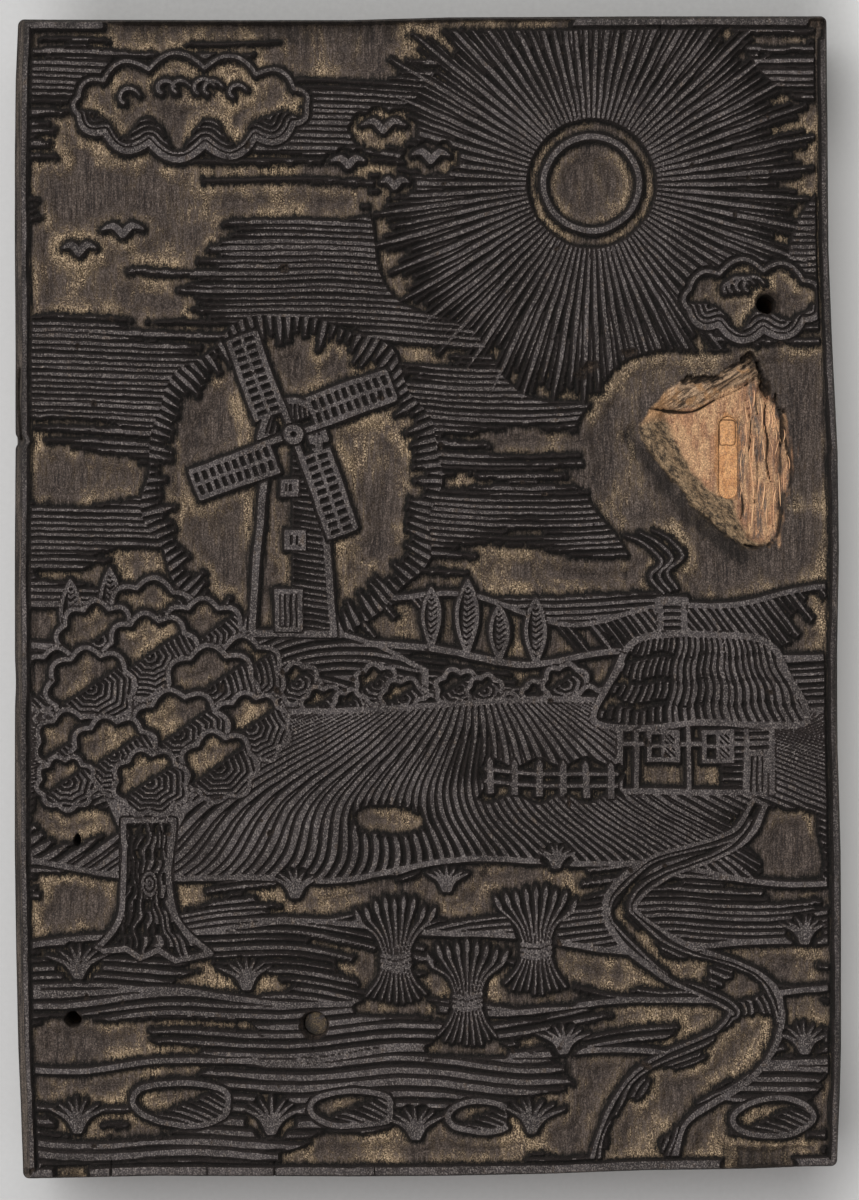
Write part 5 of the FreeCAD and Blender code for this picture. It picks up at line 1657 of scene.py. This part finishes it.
class Maker:
    # short calls that add nodes to one tree; position is the socket of the place in millimetres
    def __init__(self, tree, position=None):
        self.tree, self.position = tree, position

    def feed(self, socket, value):
        # links a socket to another, or sets its value
        if isinstance(value, bpy.types.NodeSocket):
            self.tree.links.new(value, socket)
        else:
            socket.default_value = value

    def put(self, kind, sockets=None, **settings):
        made = self.tree.nodes.new(kind)
        for key, value in settings.items():
            setattr(made, key, value)
        for key, value in (sockets or {}).items():
            self.feed(made.inputs[key], value)
        return made

    def maths(self, operation, a, b=0.0, c=0.0):
        return self.put("ShaderNodeMath", {0: a, 1: b, 2: c}, operation=operation).outputs[0]

    def times(self, a, b):
        return self.maths("MULTIPLY", a, b)

    def plus(self, base, value, share, middle=0.0):
        # base + share * (value - middle)
        return self.maths("ADD", base, self.times(self.maths("SUBTRACT", value, middle), share))

    def vector(self, operation, a, b, out=0):
        return self.put("ShaderNodeVectorMath", {0: a, 1: b}, operation=operation).outputs[out]

    def ramp(self, value, low, high):
        given = {0: value, 1: low, 2: high, 3: 0.0, 4: 1.0}
        return self.put("ShaderNodeMapRange", given, interpolation_type="SMOOTHSTEP").outputs[0]

    def mix(self, share, a, b):
        # a, or b where the share is 1; both are sockets or names of inks
        a, b = [linear(ink) if isinstance(ink, str) else ink for ink in (a, b)]
        return self.put("ShaderNodeMix", {0: share, 6: a, 7: b}, data_type="RGBA").outputs[2]

    def wash(self, colour, over, mask, amount):
        # lays a second colour over the first where the mask is, by this amount at most
        return self.mix(self.times(mask, amount), colour, over)

    def field(self, name):
        return self.put("ShaderNodeAttribute", attribute_name=name).outputs["Fac"]

    def axis(self, name):
        return self.put("ShaderNodeSeparateXYZ", {0: self.position}).outputs[name]

    def speckle(self, size, detail=2.0, rough=0.55, distortion=0.0, turn=0.0):
        # noise whose grains have these sizes in millimetres along x, y and z, on the wood or turned on it
        position = self.position
        if turn:
            given = {"Vector": position, "Rotation": (0.0, 0.0, math.radians(turn))}
            position = self.put("ShaderNodeMapping", given).outputs[0]
        spread = self.vector("MULTIPLY", position, tuple(1 / s for s in size))
        given = {"Vector": spread, "Scale": 1.0, "Detail": detail, "Roughness": rough,
                 "Distortion": distortion}
        return self.put("ShaderNodeTexNoise", given).outputs["Fac"]

    def spots(self, size, low, high, *grain, turn=0.0):
        # the same noise, sharpened: 0 below low and 1 above high
        return self.ramp(self.speckle(size, *grain, turn=turn), low, high)


def woodGroup():
    # grain of an old dense fruit wood: fibres along y, slow patches, pores and specks, all from 0 to 1
    tree = bpy.data.node_groups.new("agedFruitWood", "ShaderNodeTree")
    tree.interface.new_socket(name="Position", in_out="INPUT", socket_type="NodeSocketVector")
    for name in ("Fibres", "Patches", "Pores", "Specks", "Height", "Grit"):
        tree.interface.new_socket(name=name, in_out="OUTPUT", socket_type="NodeSocketFloat")
    make = Maker(tree)
    make.position = make.put("NodeGroupInput").outputs["Position"]
    fibres = make.plus(make.times(make.speckle((0.26, 3.0, 0.26), 4.0, 0.72), 0.65),
                       make.speckle((0.75, 14, 0.75), 3.0, 0.6), 0.35)
    grit = make.plus(make.times(make.speckle((0.14, 0.30, 0.14), 1.5, 0.7), 0.6),
                     make.speckle((0.30, 0.13, 0.30), 1.5, 0.7), 0.4)
    pores = make.spots((0.14, 0.7, 0.14), 0.66, 0.76, 1.0)
    make.put("NodeGroupOutput", dict(
        Fibres=make.ramp(fibres, 0.38, 0.62), Patches=make.speckle((6.5, 10, 6.5), 5.0, 0.60, 0.5),
        Pores=pores, Specks=make.spots((0.14, 0.14, 0.14), 0.80, 0.84, 0.0),
        Height=make.plus(fibres, pores, -0.5), Grit=make.ramp(grit, 0.42, 0.58)))
    return tree


agedWood = woodGroup()


def newMaterial(name):
    # an empty material with the place in millimetres and the wood's grain at hand
    material = bpy.data.materials.new(name)
    material.use_nodes = True
    make = Maker(material.node_tree)
    place = make.put("ShaderNodeTexCoord").outputs["Object"]
    make.position = make.vector("MULTIPLY", place, (1 / mm, 1 / mm, 1 / mm))
    grain = make.put("ShaderNodeGroup", node_tree=agedWood)
    make.feed(grain.inputs["Position"], make.position)
    return material, make, grain.outputs


def finishMaterial(make, colour, roughness, bump, strength, distance=0.0002):
    shader = make.tree.nodes["Principled BSDF"]
    raised = make.put("ShaderNodeBump", {"Strength": strength, "Distance": distance, "Height": bump})
    make.feed(shader.inputs["Base Color"], colour)
    make.feed(shader.inputs["Roughness"], roughness)
    make.feed(shader.inputs["Normal"], raised.outputs["Normal"])
    return shader


def carvedMaterial():
    # black ink on what stands, dark valleys, tan floors with inked patches, raw wood where it broke
    material, make, grain = newMaterial("inkedCarving")
    inked, cleared, shadeAndGrime, raw, shoulder = [
        make.field(name) for name in ("inked", "cleared", "shadeAndGrime", "raw", "shoulder")]
    fibres, patches, grit = grain["Fibres"], grain["Patches"], grain["Grit"]
    tan = make.mix(fibres, "tanDark", "tanLight")
    tan = make.mix(make.spots((1.8, 5.0, 1.8), 0.40, 0.70, 3.0), tan, "tanMid")
    tan = make.wash(tan, "tanBright", make.ramp(grit, 0.40, 1.0), 0.70)
    # the middle of a clearing took some ink, broken up by the fibres
    cloud = make.plus(make.plus(make.plus(patches, fibres, 0.20, 0.5), grit, 0.10, 0.5), cleared, 0.20)
    floor = make.mix(make.ramp(cloud, 0.43, 0.70), tan, make.mix(fibres, "floorInk", "floorPale"))
    # thin dark fibres that hold old ink run down every clearing
    floor = make.wash(floor, "floorScratch", make.spots((0.17, 2.4, 0.17), 0.50, 0.62, 3.0, 0.75), 0.66)
    # walls of the cuts: ink, darkening towards their bottom as painted shade
    wallInkAndShade = make.mix(make.ramp(cleared, 0.0, 0.12), "inkWall", "valley")
    colour = make.mix(make.ramp(make.plus(cleared, fibres, 0.16, 0.5), 0.12, 0.38), wallInkAndShade, floor)
    # film of ink on what stands: worn, glinting and thin along the fibres
    film = make.mix(make.ramp(patches, 0.38, 0.66), "inkTop", "inkTopPale")
    film = make.mix(make.spots((1.2, 2.4, 1.2), 0.58, 0.72, 4.0, 0.7), film, "inkWorn")
    film = make.wash(film, "inkGlint", make.ramp(grit, 0.50, 1.0), 0.56)
    film = make.wash(film, "inkWall", make.ramp(fibres, 0.75, 0.1), 0.45)
    colour = make.mix(inked, colour, film)
    slant = make.mix(make.spots((0.5, 9.0, 0.5), 0.38, 0.62, 4.0, 0.7), "shoulderInk", "shoulderWood")
    slant = make.wash(slant, "sideInk", make.ramp(shoulder, 0.66, 0.96), 0.7)
    colour = make.mix(make.ramp(shoulder, 0.0, 0.12), colour, slant)
    # painted shade in hollows, cracks and drilled holes, with the grime of the border
    colour = make.wash(colour, "valley", make.ramp(shadeAndGrime, 0.20, 0.95), 0.70)
    colour = make.wash(colour, make.mix(fibres, "crack", "chip"), make.field("chipped"), 0.85)
    # raw wood: pale and dark fibres, a greyed slope, and painted shade near-black in its cracks and under its
    # lip
    fresh = make.mix(make.spots((0.30, 4.0, 0.5), 0.36, 0.62, 4.0, 0.65, 0.3), "rawDark", "rawPeach")
    fresh = make.wash(fresh, "rawPale", make.spots((1.6, 3.0, 1.6), 0.40, 0.64, 4.0), 0.8)
    fresh = make.wash(fresh, "rawSpot", make.spots((0.30, 0.42, 0.30), 0.60, 0.70), 0.75)
    fresh = make.wash(fresh, "dust", make.field("dusty"), 0.75)
    ashen = make.times(make.field("streaked"), make.spots((0.34, 2.0, 0.4), 0.43, 0.53, 4.0, 0.75))
    fresh = make.wash(fresh, "ashen", ashen, 0.88)
    steep = make.mix(make.spots((2.6, 0.40, 1.0), 0.40, 0.60, 4.0, 0.70, turn=-35), "facetDark", "facetPale")
    warm = make.ramp(make.axis("X"), 35.6, 33.2)
    warm = make.maths("MAXIMUM", make.spots((1.8, 1.6, 1.8), 0.52, 0.66, 3.0), warm)
    fresh = make.mix(make.field("facet"), fresh, make.wash(steep, "facetWarm", warm, 0.8))
    slope = make.mix(make.spots((0.45, 1.1, 1.0), 0.36, 0.60, 5.0, 0.75, turn=-48), "oliveDark", "oliveBand")
    slope = make.mix(make.spots((0.9, 1.2, 0.9), 0.52, 0.66, 4.0, 0.7), slope, "oliveDark")
    fresh = make.mix(make.field("olive"), fresh, slope)
    fresh = make.wash(fresh, "crack", make.ramp(shadeAndGrime, 0.15, 0.55), 0.88)
    colour = make.mix(raw, colour, fresh)
    bite = make.plus(0.66, make.maths("MAXIMUM", inked, raw), -0.20)
    colour = make.wash(colour, "crack", make.maths("SUBTRACT", 1.0, grit), bite)
    colour = make.wash(colour, "speck", grain["Specks"], 0.30)
    relief = make.maths("ADD", grain["Height"], grit)
    shader = finishMaterial(make, colour, make.plus(0.82, inked, -0.22), relief, 0.7)
    shader.inputs["Specular IOR Level"].default_value = 0.22
    return material


def plankMaterial(name, dark, pale, inky):
    # old wood of the sides and back: long grain, growth rings on the ends, ink run down from the face
    material, make, grain = newMaterial(name)
    flatPosition = make.vector("MULTIPLY", make.position, (1.0, 0.0, 1.0))
    reach = make.vector("DISTANCE", flatPosition, (26.0, 0.0, -58.0), "Value")
    rings = make.maths("SINE", make.times(make.plus(reach, make.speckle((9, 9, 9)), 2.4), 4.3))
    cross = make.wash(pale, dark, make.ramp(rings, -0.2, 1.0), 0.7)
    cross = make.mix(make.spots((0.16, 0.16, 0.16), 0.56, 0.70, 1.0), cross, "sideInk")
    colour = make.mix(make.field("endGrain"), make.mix(grain["Fibres"], dark, pale), cross)
    smear = make.plus(make.axis("Z"), make.speckle((5, 5, 9), 4.0, 0.65), 22.0)
    colour = make.wash(colour, "sideInk", make.ramp(smear, 19.0, 30.0), inky)
    colour = make.wash(colour, dark, make.spots((14, 20, 14), 0.50, 0.66, 4.0, 0.6, 0.5), 0.45)
    colour = make.wash(colour, "sideInk", grain["Pores"], 0.5)
    finishMaterial(make, colour, 0.72, grain["Height"], 0.5)
    return material


def grainGapsAndShade(make, grain, colour, deep):
    # dark between the grains, and painted shade where the surface lies deep
    colour = make.wash(colour, "crack", make.maths("SUBTRACT", 1.0, grain["Grit"]), 0.45)
    return make.wash(colour, "crack", make.field("shadeAndGrime"), deep)


def pegMaterial():
    # end grain: dark pores, a little ink, and painted shade on its sides and where its top tilts down
    material, make, grain = newMaterial("pegEndGrain")
    dots = make.spots((0.20, 0.20, 0.20), 0.42, 0.60, 3.0, 0.7)
    colour = make.mix(make.spots((0.9, 0.9, 0.9), 0.50, 0.64), make.mix(dots, "pegDark", "pegWood"), "inkTop")
    finishMaterial(make, grainGapsAndShade(make, grain, colour, 0.85), 0.8, dots, 0.5)
    return material


def dustMaterial():
    # crumbs of bored wood with brown spots, and painted shade in the splits
    material, make, grain = newMaterial("packedBoreDust")
    colour = make.mix(make.spots((1.0, 2.2, 1.0), 0.36, 0.62, 3.0, 0.6), "dust", "dustPale")
    crumbs = make.spots((0.24, 0.60, 0.24), 0.48, 0.64, 3.0, 0.8)
    colour = make.wash(colour, "rawDark", crumbs, 0.55)
    colour = make.wash(colour, "rawSpot", make.spots((0.30, 0.42, 0.30), 0.62, 0.70), 0.6)
    finishMaterial(make, grainGapsAndShade(make, grain, colour, 0.8), 0.85, crumbs, 0.3, 0.0001)
    return material


def splinterMaterial():
    material, make, grain = newMaterial("rawFibre")
    streak = make.spots((0.12, 2.0, 0.12), 0.38, 0.62, 3.0)
    finishMaterial(make, make.mix(streak, "rawPeach", "rawPale"), 0.75, streak, 0.3, 0.0001)
    return material


def floorMaterial():
    # pale ground, painted lighter to the right against the block's shadow there, with painted shadows beyond
    # the head and foot of the block
    material, make, grain = newMaterial("paleFloor")
    along, up = make.axis("X"), make.axis("Y")
    colour = make.mix(make.ramp(along, -90.0, 90.0), "groundLeft", "groundRightLightened")
    nearby = make.ramp(make.maths("ABSOLUTE", make.maths("SUBTRACT", along, 4.0)), 68.0, 50.0)
    # painted shadows beyond the head and the foot, close to the block's width
    for way, ink in ((1.0, "groundHeadShadow"), (-1.0, "groundFootShadow")):
        reach = make.times(up, way)
        shadowStrip = make.times(make.ramp(reach, 60.0, 80.0), make.ramp(reach, 128.0, 86.0))
        colour = make.wash(colour, ink, shadowStrip, nearby)
    colour = make.wash(colour, "groundDust", make.speckle((0.8, 0.8, 0.8), 3.0), 0.08)
    finishMaterial(make, colour, 0.9, grain["Patches"], 0.05)
    return material


finishes = [
    (tiles, carvedMaterial()),
    ([plankSides], plankMaterial("plankSideWood", "side", "sidePale", 0.85)),
    ([plankBack], plankMaterial("plankBackWood", "backDark", "back", 0.0)),
    ([pegPiece], pegMaterial()), ([fillingPiece], dustMaterial()), ([splinterPiece], splinterMaterial()),
]
for pieces, material in finishes:
    for piece in pieces:
        piece.data.materials.append(material)
report("materials")

studio = dict(
    floorReach=1.6,  # half the floor's size, in metres
    lampPlace=(-0.36, 0.34, 1.15), lampSize=1.10, lampPower=17.0,
    fill=0.42, fillColour=(1.0, 0.985, 0.97, 1),
    pixelsPerMillimetre=7.03, picturePixels=1200, middle=(0.22, -0.29), lens=100.0, sensor=36.0,
)
floorCorners = np.array([(-1, -1, 0), (1, -1, 0), (1, 1, 0), (-1, 1, 0)]) * studio["floorReach"] / mm
floor = meshFrom("floor", floorCorners + np.array([0, 0, -0.05]), [[[0, 1, 2, 3]]])
floor.data.materials.append(floorMaterial())

lamp = bpy.data.objects.new("key_light", bpy.data.lights.new("key_light", "AREA"))
lamp.data.size = studio["lampSize"]
lamp.data.energy = studio["lampPower"]
lamp.location = studio["lampPlace"]
lamp.rotation_euler = (Vector((0, 0, 0.02)) - lamp.location).to_track_quat("-Z", "Y").to_euler()
scene.collection.objects.link(lamp)
world = bpy.data.worlds.new("studio")
world.use_nodes = True
background = world.node_tree.nodes["Background"].inputs
background["Color"].default_value = studio["fillColour"]
background["Strength"].default_value = studio["fill"]
scene.world = world

camera = bpy.data.objects.new("camera", bpy.data.cameras.new("camera"))
camera.data.lens = studio["lens"]
camera.data.sensor_width = studio["sensor"]
frameTall = studio["picturePixels"] / studio["pixelsPerMillimetre"]
away = camera.data.lens * frameTall / camera.data.sensor_width
camera.location = (studio["middle"][0] * mm, studio["middle"][1] * mm, (plank["top"] + away) * mm)
camera.data.clip_start, camera.data.clip_end = 0.01, 10
scene.collection.objects.link(camera)
scene.camera = camera
scene.view_settings.view_transform = "Standard"

# the made pieces take the place of the imported parts, which are hidden, and all hang on one body
plankPieces = tiles + [plankSides, plankBack, splinterPiece]
for piece in plankPieces:
    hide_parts("carved_plank")
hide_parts("wooden_peg")
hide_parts("gallery_filling")
for piece in plankPieces + [pegPiece, fillingPiece]:
    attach(piece, "root")

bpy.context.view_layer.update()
report("scene ready")
